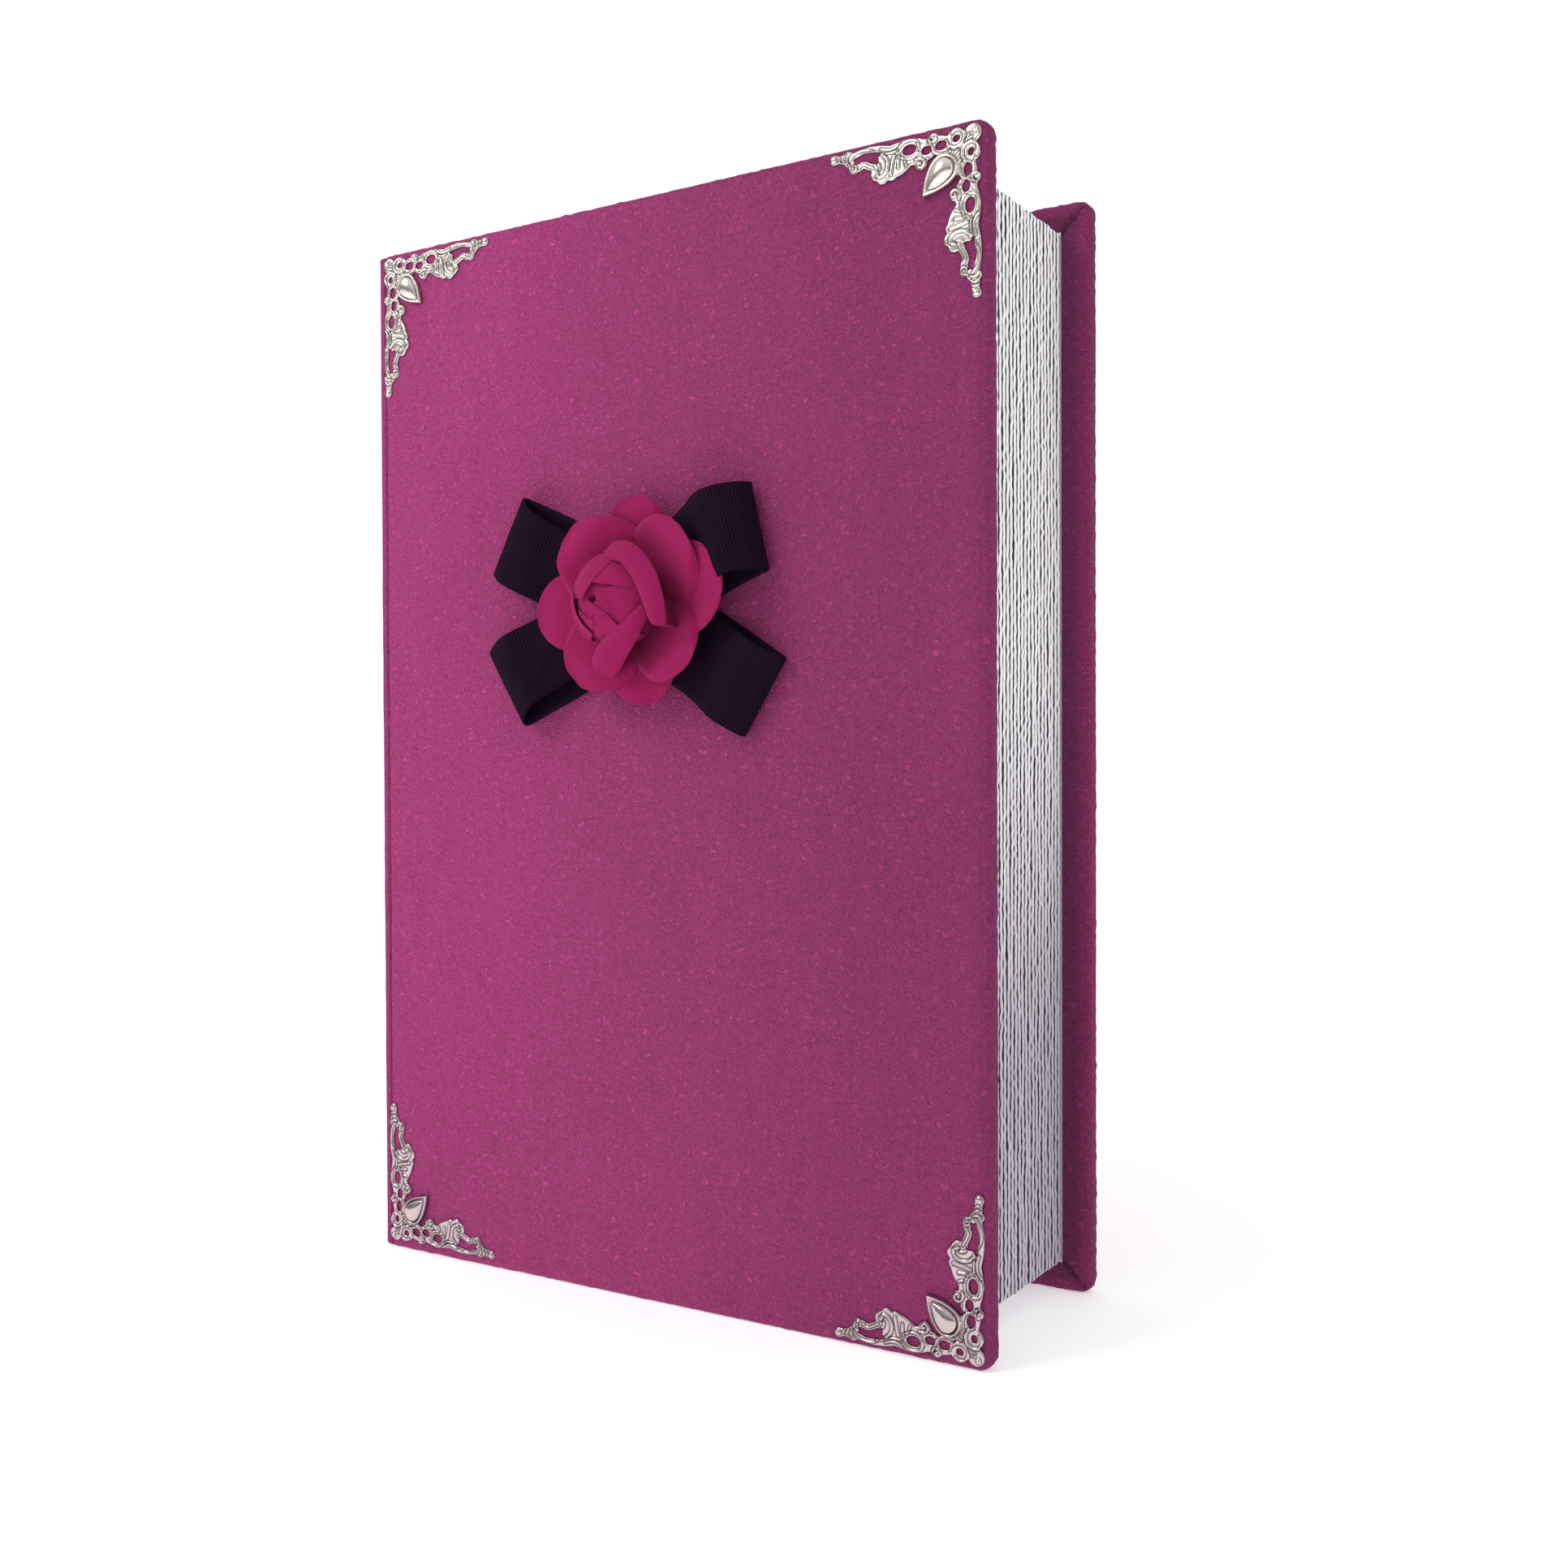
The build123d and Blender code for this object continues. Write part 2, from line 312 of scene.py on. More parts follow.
# %% Grid faces and pieces
def grid_faces(rows, columns, wrap_columns=False, first=0):
    """Four-sided faces of a grid: corners (r, c), (r + 1, c), (r + 1, c + 1) and (r, c + 1)."""
    row = np.arange(rows - 1)
    column = np.arange(columns if wrap_columns else columns - 1)
    row, column = np.meshgrid(row, column, indexing="ij")
    beside = (column + 1) % columns
    corners = (row * columns + column, (row + 1) * columns + column,
               (row + 1) * columns + beside, row * columns + beside)
    return np.stack(corners, axis=-1).reshape(-1, 4) + first


def make_piece(name, points, faces, finish, body, marks=None, merge=1e-6):
    """A mesh from points in millimetres and four-sided faces, with its outside turned outwards.

    marks are numbers per point that a finish can read. The piece rides on its body.
    """
    mesh = bpy.data.meshes.new(name)
    points = np.asarray(points, dtype=np.float32).reshape(-1, 3) * 0.001
    mesh.vertices.add(len(points))
    mesh.vertices.foreach_set("co", points.ravel())
    mesh.loops.add(faces.size)
    mesh.loops.foreach_set("vertex_index", faces.astype(np.int32).ravel())
    mesh.polygons.add(len(faces))
    mesh.polygons.foreach_set("loop_start", np.arange(0, faces.size, 4, dtype=np.int32))
    mesh.update(calc_edges=True)
    mesh.validate()
    for mark, values in (marks or {}).items():
        layer = mesh.attributes.new(mark, "FLOAT", "POINT")
        layer.data.foreach_set("value", np.asarray(values, dtype=np.float32).ravel())
    work = bmesh.new()
    work.from_mesh(mesh)
    bmesh.ops.remove_doubles(work, verts=work.verts, dist=merge)
    bmesh.ops.dissolve_degenerate(work, dist=merge, edges=work.edges)
    bmesh.ops.recalc_face_normals(work, faces=work.faces)
    work.to_mesh(mesh)
    work.free()
    mesh.shade_smooth()
    mesh.materials.append(finish)
    piece = bpy.data.objects.new(name, mesh)
    scene.collection.objects.link(piece)
    if body is not None:
        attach(piece, body)
    return piece


def smoothstep(values, low, high):
    """0 below low, 1 above high, with an S-curve between."""
    share = np.clip((values - low) / (high - low), 0.0, 1.0)
    return share * share * (3 - 2 * share)


def ripple(points, size, seed, waves=14):
    """Soft random swell: the mean of sine waves with random directions and phases."""
    chance = np.random.default_rng(seed)
    directions = chance.normal(size=(waves, points.shape[-1]))
    directions /= np.linalg.norm(directions, axis=1, keepdims=True)
    directions *= 2 * np.pi / (size * chance.uniform(0.7, 1.5, size=(waves, 1)))
    phases = chance.uniform(0, 2 * np.pi, waves)
    total = np.zeros(points.shape[:-1])
    for direction, phase in zip(directions, phases):
        total += np.sin(points @ direction + phase)
    return total / math.sqrt(waves / 2)


def smooth_path(corners, step):
    """A rounded line through the corners (Catmull-Rom), cut into equal steps."""
    corners = np.asarray(corners, dtype=float)
    padded = np.vstack([2 * corners[0] - corners[1], corners, 2 * corners[-1] - corners[-2]])
    share = np.linspace(0, 1, 60, endpoint=False)[:, None]
    runs = []
    for index in range(1, len(padded) - 2):
        before, start, end, after = padded[index - 1:index + 3]
        runs.append(0.5 * (2 * start + (end - before) * share
                    + (2 * before - 5 * start + 4 * end - after) * share ** 2
                    + (3 * start - before - 3 * end + after) * share ** 3))
    line = np.vstack(runs + [corners[-1:]])
    along = np.concatenate([[0], np.cumsum(np.linalg.norm(np.diff(line, axis=0), axis=1))])
    count = max(2, int(round(along[-1] / step)) + 1)
    even = np.linspace(0, along[-1], count)
    columns = [np.interp(even, along, line[:, axis]) for axis in range(line.shape[1])]
    return np.stack(columns, axis=1)

# %% [markdown]
# ## Velvet
# Velvet is a short dense pile. It catches light at its edges, so the shader has sheen. The pile
# lies in small crinkles of one or two millimetres, with soft streaks and a few pressed darker spots.
# Noise in the object's own coordinates does all of it, so the pattern sticks to the cloth.

# %% Velvet finish
def velvet_finish(name, colour, rim_shade_colour, inside_shade_colour):
    """Pile with crinkles, streaks and pressed spots, and painted light that makes it lighter at low X, by the
    spine.

    The mark "rim" brings a painted shade colour, darker and more saturated, to the rims; the mark "inside"
    brings a painted shade colour to the turned-in cloth; "seam" darkens a glued seam.
    """
    cloth = Finish(name)
    crinkle = cloth.noise(cloth.stretch(560, 560, 720), 1.0, 3.0, 0.62, 1.1)
    creases = ((crinkle - 0.5).math("ABSOLUTE") * 7.0).clamp()
    pile = cloth.noise(cloth.stretch(2300, 2300, 2300), 1.0, 2.0, 0.6)
    streak = cloth.noise(cloth.stretch(150, 150, 24), 1.0, 3.0, 0.6)
    sweep = cloth.noise(cloth.stretch(17, 17, 10), 1.0, 3.0, 0.55)
    spots = cloth.noise(cloth.stretch(75, 75, 60), 1.0, 4.0, 0.65).ramp(0.62, 0.74)
    # Painted light: the cloth is lighter at low X, by the spine, and darker towards the fore-edge.
    painted_light_at_spine = cloth.axis(0).ramp(0.095, -0.085)
    lightness = crinkle * 3.00 + creases * 0.20 + pile * 1.20 + streak * 0.24 + sweep * 0.42 - 1.06
    lightness = lightness * (1 - spots * 0.14) * (0.83 + painted_light_at_spine * 0.40)
    grey = cloth.add("ShaderNodeCombineXYZ", {}, {0: lightness, 1: lightness, 2: lightness})
    # Painted shade: the rim colour darkens the rims and the inside colour darkens the turned-in cloth.
    base = cloth.mix(cloth.attribute("rim"), colour, rim_shade_colour)
    base = cloth.mix(cloth.attribute("inside"), base, inside_shade_colour)
    base = cloth.mix(1.0, base, grey, "MULTIPLY")
    base = cloth.mix(cloth.attribute("seam") * 0.6, base, shade(inside_shade_colour, 0.25))
    normal = cloth.bump(crinkle * 0.9 + creases * 0.25 + pile * 0.4 + streak * 0.3, 0.003, 1.0)
    return cloth.surface(
        {"Base Color": base, "Normal": normal},
        {"Roughness": 0.85, "Specular IOR Level": 0.15, "Sheen Weight": 0.2,
         "Sheen Roughness": 0.45, "Sheen Tint": (0.95, 0.55, 0.8, 1)},
    )


velvet_colour = srgb(165, 53, 115)
# Painted shade: the next two colours are darker copies of the velvet, for its rims and for its turned-in
# cloth.
velvet_rim_shade_colour = srgb(152, 44, 106)
velvet_inside_shade_colour = srgb(127, 42, 93)
velvet = velvet_finish("velvet", velvet_colour, velvet_rim_shade_colour, velvet_inside_shade_colour)
print("velvet linear colour", [round(part, 3) for part in velvet_colour[:3]])

# %% [markdown]
# ## Covers
# A cover is a board wrapped in velvet. The cloth goes over the face, round the edges and back
# onto the inside, where its corners meet in a seam at 45 degrees. It is one sheet: rings of points
# start at the middle of the face, widen to the rim, turn round it and come back on the inside. A
# second run of rings just within, against the board, closes it into a thin shell.

# %% Rings of a wrapped board
def edge_places(length, fine, fine_length, coarse):
    """Places along one edge, from 0 to length: close together near both ends, wider between."""
    near = np.arange(0, fine_length, fine)
    between = np.arange(fine_length, length - fine_length, coarse)
    return np.concatenate([near, between, length - near[::-1]])


def rounded_outline(low, high, radii, spacing):
    """Rounded rectangle as (centre of rounding, outward direction, radius) of each point.

    radii are those of the corners low-low, high-low, high-high and low-high.
    """
    centres, directions, reach = [], [], []
    corners = [(low[0], low[1]), (high[0], low[1]), (high[0], high[1]), (low[0], high[1])]
    signs = [(1, 1), (-1, 1), (-1, -1), (1, -1)]
    for index in range(4):
        centre = np.array(corners[index]) + np.array(signs[index]) * radii[index]
        turn = math.radians(180 + 90 * index) + np.linspace(0, math.pi / 2, 7)
        around = np.stack([np.cos(turn), np.sin(turn)], axis=1)
        centres.append(np.repeat(centre[None], 7, axis=0))
        directions.append(around)
        reach.append(np.full(7, radii[index]))
        following = (index + 1) % 4
        goal = np.array(corners[following]) + np.array(signs[following]) * radii[following]
        out = around[-1]
        goal = goal + out * ((centre - goal) @ out)
        length = np.linalg.norm(goal - centre)
        share = edge_places(length, *spacing)[1:-1, None] / length
        centres.append(centre + (goal - centre) * share)
        directions.append(np.repeat(out[None], len(share), axis=0))
        reach.append(np.full(len(share), radii[index]))
    return np.vstack(centres), np.vstack(directions), np.concatenate(reach)


def wrapped_board(low, high, radii, rows, spacing):
    """Points of every ring: a row is (four insets left, low, right, high, and a depth).

    A ring is the outline moved in by its insets: within the corner radius the rounding shrinks,
    and past it the points are held inside the smaller rectangle, so corners become mitres.
    """
    centres, directions, reach = rounded_outline(low, high, radii, spacing)
    rings = []
    for left, bottom, right, top, depth in rows:
        inset = np.full(len(centres), min(left, bottom, right, top))
        ring = centres + directions * np.maximum(reach - inset, 0.0)[:, None]
        ring = np.clip(ring, (low[0] + left, low[1] + bottom), (high[0] - right, high[1] - top))
        if left >= (high[0] - low[0]) / 2 - 0.01:
            ring[:, 0] = (low[0] + high[0]) / 2
            ring[:, 1] = np.round(ring[:, 1] / 2) * 2
        rings.append(np.column_stack([ring, np.full(len(ring), depth)]))
    return np.stack(rings)


def rounded_rim(radius, start, end, steps=6):
    """Side view of a rounded edge as (inset, depth), from the face at start to the one at end."""
    turn = np.linspace(0, math.pi / 2, steps)
    inset = radius * (1 - np.sin(turn))
    depth = start + np.sign(end - start) * radius * (1 - np.cos(turn))
    back = np.stack([inset[::-1], end - (depth[::-1] - start)], axis=1)
    return np.vstack([np.stack([inset, depth], axis=1), back])


# %% Rows and relief of a cover
velvet_thickness = 1.1
edge_radius = 1.8
turned_in = 18.0
turned_in_at_spine = 8.0


def cover_rows(half, outside, inside):
    """Insets and depth of each ring: the face, the rounded rim, the turn-in, and the way back.

    Gives the rows and how many of them lie on the outside of the cloth.
    """
    core = 30.0
    sign = np.sign(inside - outside)
    face = np.concatenate([np.arange(half, 12, -3.0), np.arange(12, 1.9, -0.8)])
    rows = [(inset,) * 4 + (outside,) for inset in face]
    rows += [(inset,) * 4 + (depth,) for inset, depth in rounded_rim(edge_radius, outside, inside)]
    back = [2.6, 3.6, 5.0, 6.5, turned_in_at_spine, 10.0, 12.0, 14.0, 16.0, 17.6, turned_in]
    dips = [0, 0, 0, 0, 0, 0, 0, 0, 0, 0.1, 0.35]
    rows += [(min(inset, turned_in_at_spine), inset, inset, inset, inside - sign * dip)
             for inset, dip in zip(back, dips)]
    outer_count = len(rows)
    under = inside - sign * velvet_thickness
    over = outside + sign * velvet_thickness
    rows += [(turned_in_at_spine, turned_in, turned_in, turned_in, under)]
    rows += [(velvet_thickness,) * 4 + (under,), (velvet_thickness,) * 4 + (over,)]
    rows += [(core,) * 4 + (over,), (half,) * 4 + (over,)]
    return rows, outer_count


def cover_relief(points, low, high, outer, outside, inside):
    """Move the outer points by the cloth's relief, and give the marks for its finish: painted shade for the
    rims and for the turned-in cloth, and the seam.

    The face swells by slow ripples and carries faint ridges beside the fore-edge. On the inside
    the cloth dips where both turn-ins meet, at equal distance from two edges.
    """
    ridge_pitch = 1.5
    sign = np.sign(inside - outside)
    from_fore = high[0] - points[..., 0]
    from_top = np.minimum(points[..., 2] - low[1], high[1] - points[..., 2])
    on_face = outer & (np.abs(points[..., 1] - outside) < 0.9)
    on_back = outer & (np.abs(points[..., 1] - inside) < 0.6)
    on_rim = outer & ~on_face & ~on_back
    swell = 0.10 * ripple(points, 9.0, 5) + 0.16 * ripple(points, 34.0, 8)
    near_edge = np.exp(-((from_fore - 2.6) / 1.3) ** 2)
    ridges = 0.22 * np.cos(2 * np.pi * from_fore / ridge_pitch) * near_edge
    inward = np.where(on_face, 0.12 - 0.5 * swell - ridges, 0.0)
    mitre = np.abs(from_fore - from_top) / math.sqrt(2)
    in_corner = (from_fore < turned_in + 1) & (from_fore > 2.0)
    seam = 0.75 * np.exp(-(mitre / 0.55) ** 2) - 0.16 * np.exp(-((mitre - 1.6) / 0.7) ** 2)
    wobble = 1 + 0.35 * ripple(points, 2.2, 21)
    back_dip = np.where(in_corner, seam * wobble, 0.0) + 0.08 + 0.1 * swell
    points[..., 1] += sign * inward - sign * np.where(on_back, np.clip(back_dip, 0.0, 1.0), 0.0)
    fuzz = 0.09 * ripple(points, 2.6, 31)
    upper = np.sign(points[..., 2] - 100)
    points[..., 0] -= np.where(on_rim & (from_fore < 1.0), 0.05 + fuzz, 0.0)
    points[..., 2] -= np.where(on_rim & (from_top < 1.0), upper * (0.05 + fuzz), 0.0)
    # Painted shade: the rim mark covers the rounded rim and fades out over the face near the fore-edge.
    rim_shade_mark = np.where(on_rim, 1.0, 0.0) + 0.8 * np.exp(-(from_fore / 4.0) ** 2) * outer
    # Painted shade: the inside mark covers the turned-in cloth, away from its edges.
    inside_shade_mark = np.where(on_back, smoothstep(np.minimum(from_fore, from_top), 2.0, 5.0), 0.0)
    in_seam = np.exp(-(mitre / 0.7) ** 2) * np.clip(wobble, 0, 1.3)
    seam_mark = np.where(on_back & in_corner, in_seam, 0.0)
    return {"rim": np.clip(rim_shade_mark, 0, 1), "inside": inside_shade_mark, "seam": np.clip(seam_mark, 0, 1)}


# %% Wrap both covers
def wrap_cover(name, box, outside, inside, body, node):
    """Velvet shell of one cover. outside and inside are the Y of its two faces."""
    spine_corner = 1.5
    fore_corner = 4.0
    low = box[0, [0, 2]]
    high = box[1, [0, 2]]
    rows, outer_count = cover_rows((high[0] - low[0]) / 2, outside, inside)
    radii = (spine_corner, fore_corner, fore_corner, spine_corner)
    rings = wrapped_board(low, high, radii, rows, (0.6, 21.0, 1.8))
    points = np.stack([rings[..., 0], rings[..., 2], rings[..., 1]], axis=-1)
    outer = (np.arange(len(rows)) < outer_count)[:, None]
    marks = cover_relief(points, low, high, outer, outside, inside)
    faces = grid_faces(*points.shape[:2], wrap_columns=True)
    piece = make_piece(name, points, faces, velvet, body, marks, merge=5e-5)
    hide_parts(node)
    around = 2 * abs(inside - outside)
    width = high[0] - low[0] + around + turned_in + turned_in_at_spine
    height = high[1] - low[1] + around + 2 * turned_in
    mitred = width * height - 4 * 0.5 * turned_in * turned_in
    width / 1000
    height / 1000
    mitred / 1e6
    print(name, "flat", round(width), "x", round(height), "mm", len(piece.data.polygons), "faces")


wrap_cover("front_velvet_wrap", front_box, front_face, front_inside, "front_cover", "front_cover_velvet")
wrap_cover("back_velvet_wrap", back_box, back_face, back_inside, "back_cover", "back_cover_velvet")

# %% [markdown]
# ## Spine and joints
# The spine is a narrow board in the same velvet. Between it and each cover the cloth dips into a
# joint, which is what lets the cover open. The joint is a separate strip: one edge is glued round
# the spine, the other under the cover's edge.

# %% Spine wrap
def wrap_spine():
    """Velvet shell of the spine, drawn like a cover's: the outline lies in Y and Z."""
    low = spine_box[0, [1, 2]]
    high = spine_box[1, [1, 2]]
    outside = spine_box[0, 0]
    inside = spine_box[1, 0]
    half = (high[0] - low[0]) / 2
    face = np.concatenate([np.arange(half, 6, -3.0), np.arange(6, 1.9, -0.9)])
    turn = np.linspace(0, math.pi / 2, 6)
    rows = [(inset,) * 4 + (outside,) for inset in face]
    rows += [(edge_radius * (1 - math.sin(angle)),) * 4 + (outside + edge_radius * (1 - math.cos(angle)),)
             for angle in turn]
    rows += [(0.0,) * 4 + (outside + 2.8,), (0.0,) * 4 + (inside - 0.02,)]
    under = outside + velvet_thickness
    rows += [(velvet_thickness,) * 4 + (inside - 0.02,), (velvet_thickness,) * 4 + (under,)]
    rows += [(half,) * 4 + (under,)]
    rings = wrapped_board(low, high, (1.0,) * 4, rows, (0.8, 6.0, 1.8))
    points = np.stack([rings[..., 2], rings[..., 0], rings[..., 1]], axis=-1)
    swell = 0.08 * ripple(points, 9.0, 15) + 0.12 * ripple(points, 30.0, 18)
    on_face = points[..., 0] < outside + 0.9
    points[..., 0] += np.where(on_face, np.clip(0.15 - 0.5 * swell, 0.0, 0.6), 0.0)
    # Painted shade: the spine's rims take the darker rim colour.
    rim_shade_mark = np.where(on_face, 0.0, 0.8)
    piece = make_piece("spine_velvet_wrap", points, grid_faces(*points.shape[:2], wrap_columns=True),
                       velvet, "spine", {"rim": rim_shade_mark}, merge=5e-5)
    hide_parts("spine_velvet")


wrap_spine()

# %% Velvet joints and lining strips
def strip_along_z(path, thickness, bottom, top, step):
    """A strip: a line in (x, y) made thick to both sides and carried up from bottom to top."""
    path = smooth_path(path, 0.25)
    along = np.gradient(path, axis=0)
    along /= np.linalg.norm(along, axis=1, keepdims=True)
    across = np.stack([-along[:, 1], along[:, 0]], axis=1)
    half = thickness / 2 * np.sin(np.linspace(0.15, math.pi - 0.15, len(path)))[:, None] ** 0.35
    ring = np.vstack([path + across * half, (path - across * half)[::-1]])
    heights = np.linspace(bottom, top, max(2, int((top - bottom) / step)))
    heights = np.concatenate([[bottom], heights, [top]])
    points = np.empty((len(heights), len(ring), 3))
    points[..., :2] = ring
    points[..., 2] = heights[:, None]
    points[0, :, :2] = ring.mean(axis=0)
    points[-1, :, :2] = ring.mean(axis=0)
    return points


def make_joint(side, cover, node):
    """Velvet and lining of one joint, carried along Z; side is -1 for the front and 1 for the back.

    The velvet's line starts in the spine's edge, dips into the joint and ends in the cover's edge.
    """
    face = front_face if side < 0 else back_face
    path = [(hinge_x - 2.6, face - side * 1.62), (hinge_x - 1.2, face - side * 1.30),
            (hinge_x - 0.35, face - side * 0.75), (hinge_x + 0.15, face - side * 0.85),
            (hinge_x + 0.75, face - side * 1.35)]
    bottom = spine_box[0, 2] + 0.7
    top = spine_box[1, 2] - 0.7
    points = strip_along_z(path, 0.6, bottom, top, 2.5)
    faces = grid_faces(*points.shape[:2], wrap_columns=True)
    # Painted shade: the whole joint takes the darker rim colour.
    rim_shade_mark = np.full(points.shape[:2], 0.9)
    velvet_strip = make_piece(f"{cover}_velvet_joint", points, faces, velvet, None,
                              {"rim": rim_shade_mark})
    face / 1000
    face / 1000
    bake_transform(velvet_strip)
    inside = [(hinge_x + 0.16, face - side * 5.9), (hinge_x + 0.16, face - side * 3.0),
              (hinge_x + 0.14, face - side * 0.55)]
    points = strip_along_z(inside, 0.3, bottom, top, 20.0)
    faces = grid_faces(*points.shape[:2], wrap_columns=True)
    make_piece(f"{cover}_joint_strip", points, faces, spine_cloth, "spine")
    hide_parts(node)


lining = Finish("spine_cloth")
weft, warp = (
    lining.add("ShaderNodeTexWave", {"wave_type": "BANDS", "bands_direction": direction},
               {"Vector": lining.stretch(1, 1, 1), "Scale": 420.0, "Distortion": 1.5})
    for direction in "ZY")
weave = weft * 0.5 + warp * 0.5
weave_colour = lining.mix(weave, srgb(96, 32, 72), srgb(128, 48, 98))
spine_cloth = lining.surface(
    {"Base Color": weave_colour, "Normal": lining.bump(weave, 0.0002, 0.6)}, {"Roughness": 0.8})
make_joint(-1, "front_cover", "front_joint_cloth")
make_joint(1, "back_cover", "back_joint_cloth")
print("joints made")

# %% [markdown]
# ## Boards, end papers and spine lining
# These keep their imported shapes, because they are flat boards and papers. They only get finishes:
# grey board, a pearly end paper and a woven lining.

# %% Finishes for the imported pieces
paper = Finish("end_paper")
fibre = paper.noise(paper.stretch(900, 900, 300), 1.0, 4.0, 0.6)
cloud = paper.noise(paper.stretch(40, 40, 40), 1.0, 2.0)
paper_colour = paper.mix(fibre * 0.6 + cloud * 0.4, srgb(196, 190, 200), srgb(222, 217, 224))
end_paper = paper.surface(
    {"Base Color": paper_colour, "Normal": paper.bump(fibre, 0.00008, 0.5)},
    {"Roughness": 0.42, "Metallic": 0.15})
board = Finish("greyboard")
speck = board.noise(board.stretch(1500, 1500, 1500), 1.0, 3.0, 0.7)
board_colour = board.mix(speck, srgb(150, 146, 138), srgb(186, 182, 174))
greyboard = board.surface(
    {"Base Color": board_colour, "Normal": board.bump(speck, 0.0001, 0.6)}, {"Roughness": 0.9})


def refinish(node, finish):
    """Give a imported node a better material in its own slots."""
    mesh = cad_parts[node].data
    if not mesh.materials:
        mesh.materials.append(finish)
    for index in range(len(mesh.materials)):
        mesh.materials[index] = finish


for node in ("front_board", "back_board", "spine_board"):
    refinish(node, greyboard)
for node in ("front_lining", "back_lining"):
    refinish(node, end_paper)
refinish("spine_lining", spine_cloth)
print("packed pieces finished")

# %% [markdown]
# ## Leaves
# The leaves are thick cards whose edges were torn a little wavy and then silvered, so the block
# looks like a stack of thin ropes. Each leaf turns on its own joint, so each is its own piece: a
# rounded card, whose rim sways from side to side, and the narrow cloth guard that holds it.

# %% Silvered leaf finish
def silvered_finish():
    """Card faces with a silvered rim and fine streaks. Painted light makes the rim bright high up and lilac
    grey low down, a painted glow lifts it, and painted shade darkens the faces beside it.
    """
    card = Finish("silvered_leaf")
    rim = card.attribute("silver")
    # Painted light: the silver is bright high up and lilac grey low down, as the light from above falls.
    low = card.axis(2).ramp(0.205, 0.055)
    streak = card.noise(card.stretch(900, 2400, 240), 1.0, 3.0, 0.6)
    bright = card.mix(streak, srgb(232, 230, 234), srgb(255, 255, 255))
    shaded_silver = card.mix(streak, srgb(146, 136, 152), srgb(206, 197, 212))
    silver = card.mix(low, bright, shaded_silver)
    fibre = card.noise(card.stretch(500, 500, 500), 1.0, 4.0, 0.6)
    face = card.mix(fibre, srgb(226, 221, 222), srgb(240, 236, 236))
    # Painted shade between the leaves: a dark band on the faces just inside the silvered rim.
    gap_shade = card.attribute("gap_shade")
    face = card.mix(gap_shade, face, srgb(34, 27, 38))
    base = card.mix(rim, face, silver)
    # Painted glow: an emission in the silver's own colour brightens the rim.
    return card.surface(
        {"Base Color": base, "Metallic": rim * 0.15, "Roughness": 0.62 - rim * 0.25,
         "Emission Color": card.mix(rim, (0, 0, 0, 1), silver),
         "Normal": card.bump(streak, 0.00012, 0.5)},
        {"Specular IOR Level": 0.5, "Emission Strength": 0.22})


silvered = silvered_finish()
leaf_count = 26
guard_width = 12.4
leaf_boxes = {number: box_mm(f"leaf_{number:02d}") for number in range(1, leaf_count + 1)}


def make_leaf(number):
    """Rings round a card, from one face over the rim to the other, with a wavy rim.

    The thickness and the sideways sway of the rim are ripples along the edge, and both fade out
    towards the middle of the card.
    """
    box = leaf_boxes[number]
    level = (box[0, 1] + box[1, 1]) / 2
    start = box[0, 0] + guard_width
    low = (start, box[0, 2])
    high = (box[1, 0], box[1, 2])
    half = (high[0] - low[0]) / 2
    calm = 14.0
    insets = [half, calm, 2.2, 0.7, 0.40, 0.16, 0.03, 0.0]
    depths = [0.90, 0.90, 0.93, 0.95, 0.92, 0.80, 0.64, 0.32]
    silver = [0, 0, 0, 0, 0, 0.1, 1, 1]
    # Painted shade: the next list marks a dark band on the faces beside the rim, between the leaves.
    gap_shade = [0, 0, 0, 1, 1, 1, 0, 0]
    insets, silver, gap_shade = (marks + marks[::-1] for marks in (insets, silver, gap_shade))
    depths = [-depth for depth in depths] + depths[::-1]
    rows = [(inset,) * 4 + (depth,) for inset, depth in zip(insets, depths)]
    rings = wrapped_board(low, high, (0.4, 0.8, 0.8, 0.4), rows, (0.8, 3.0, 0.8))
    points = np.stack([rings[..., 0], rings[..., 2], rings[..., 1]], axis=-1)
    near_rim = np.clip(1 - np.array(insets) / calm, 0, 1)[:, None] ** 2
    edge = np.stack([points[..., 0], points[..., 2]], axis=-1)
    sway = 0.03 * ripple(edge, 3.1, 100 + number) + 0.01 * ripple(edge, 40.0, 300 + number)
    swell = 1 + 0.035 * ripple(edge, 2.4, 200 + number)
    points[..., 1] = points[..., 1] * (1 + (swell - 1) * near_rim) + sway * near_rim
    ragged = 0.07 * ripple(edge, 2.8, 400 + number) + 0.07 * ripple(edge, 25.0, 500 + number)
    inward = (np.array(insets) < 0.3)[:, None] * (0.12 - ragged)
    points[..., 0] -= np.where(points[..., 0] > high[0] - 1, inward, 0)
    points[..., 2] -= np.where(points[..., 2] > high[1] - 1, inward, 0)
    points[..., 2] += np.where(points[..., 2] < low[1] + 1, inward, 0)
    points[..., 1] += level
    count = points.shape[:2]
    guard = strip_of_cloth(box[0, 0], start + 1.0, level, box[0, 2], box[1, 2])
    faces = np.vstack([grid_faces(*count, wrap_columns=True),
                       grid_faces(*guard.shape[:2], wrap_columns=True, first=count[0] * count[1])])
    guard_count = guard.shape[0] * guard.shape[1]
    marks = {}
    for mark, values in (("silver", silver), ("gap_shade", gap_shade)):
        spread = np.repeat(np.array(values, dtype=float)[:, None], count[1], axis=1)
        marks[mark] = np.concatenate([spread.ravel(), np.zeros(guard_count)])
    everything = np.vstack([points.reshape(-1, 3), guard.reshape(-1, 3)])
    leaf = make_piece(f"leaf_{number:02d}_card", everything, faces, silvered,
                      f"leaf_{number:02d}", marks, merge=2e-5)
    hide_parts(f"leaf_{number:02d}")


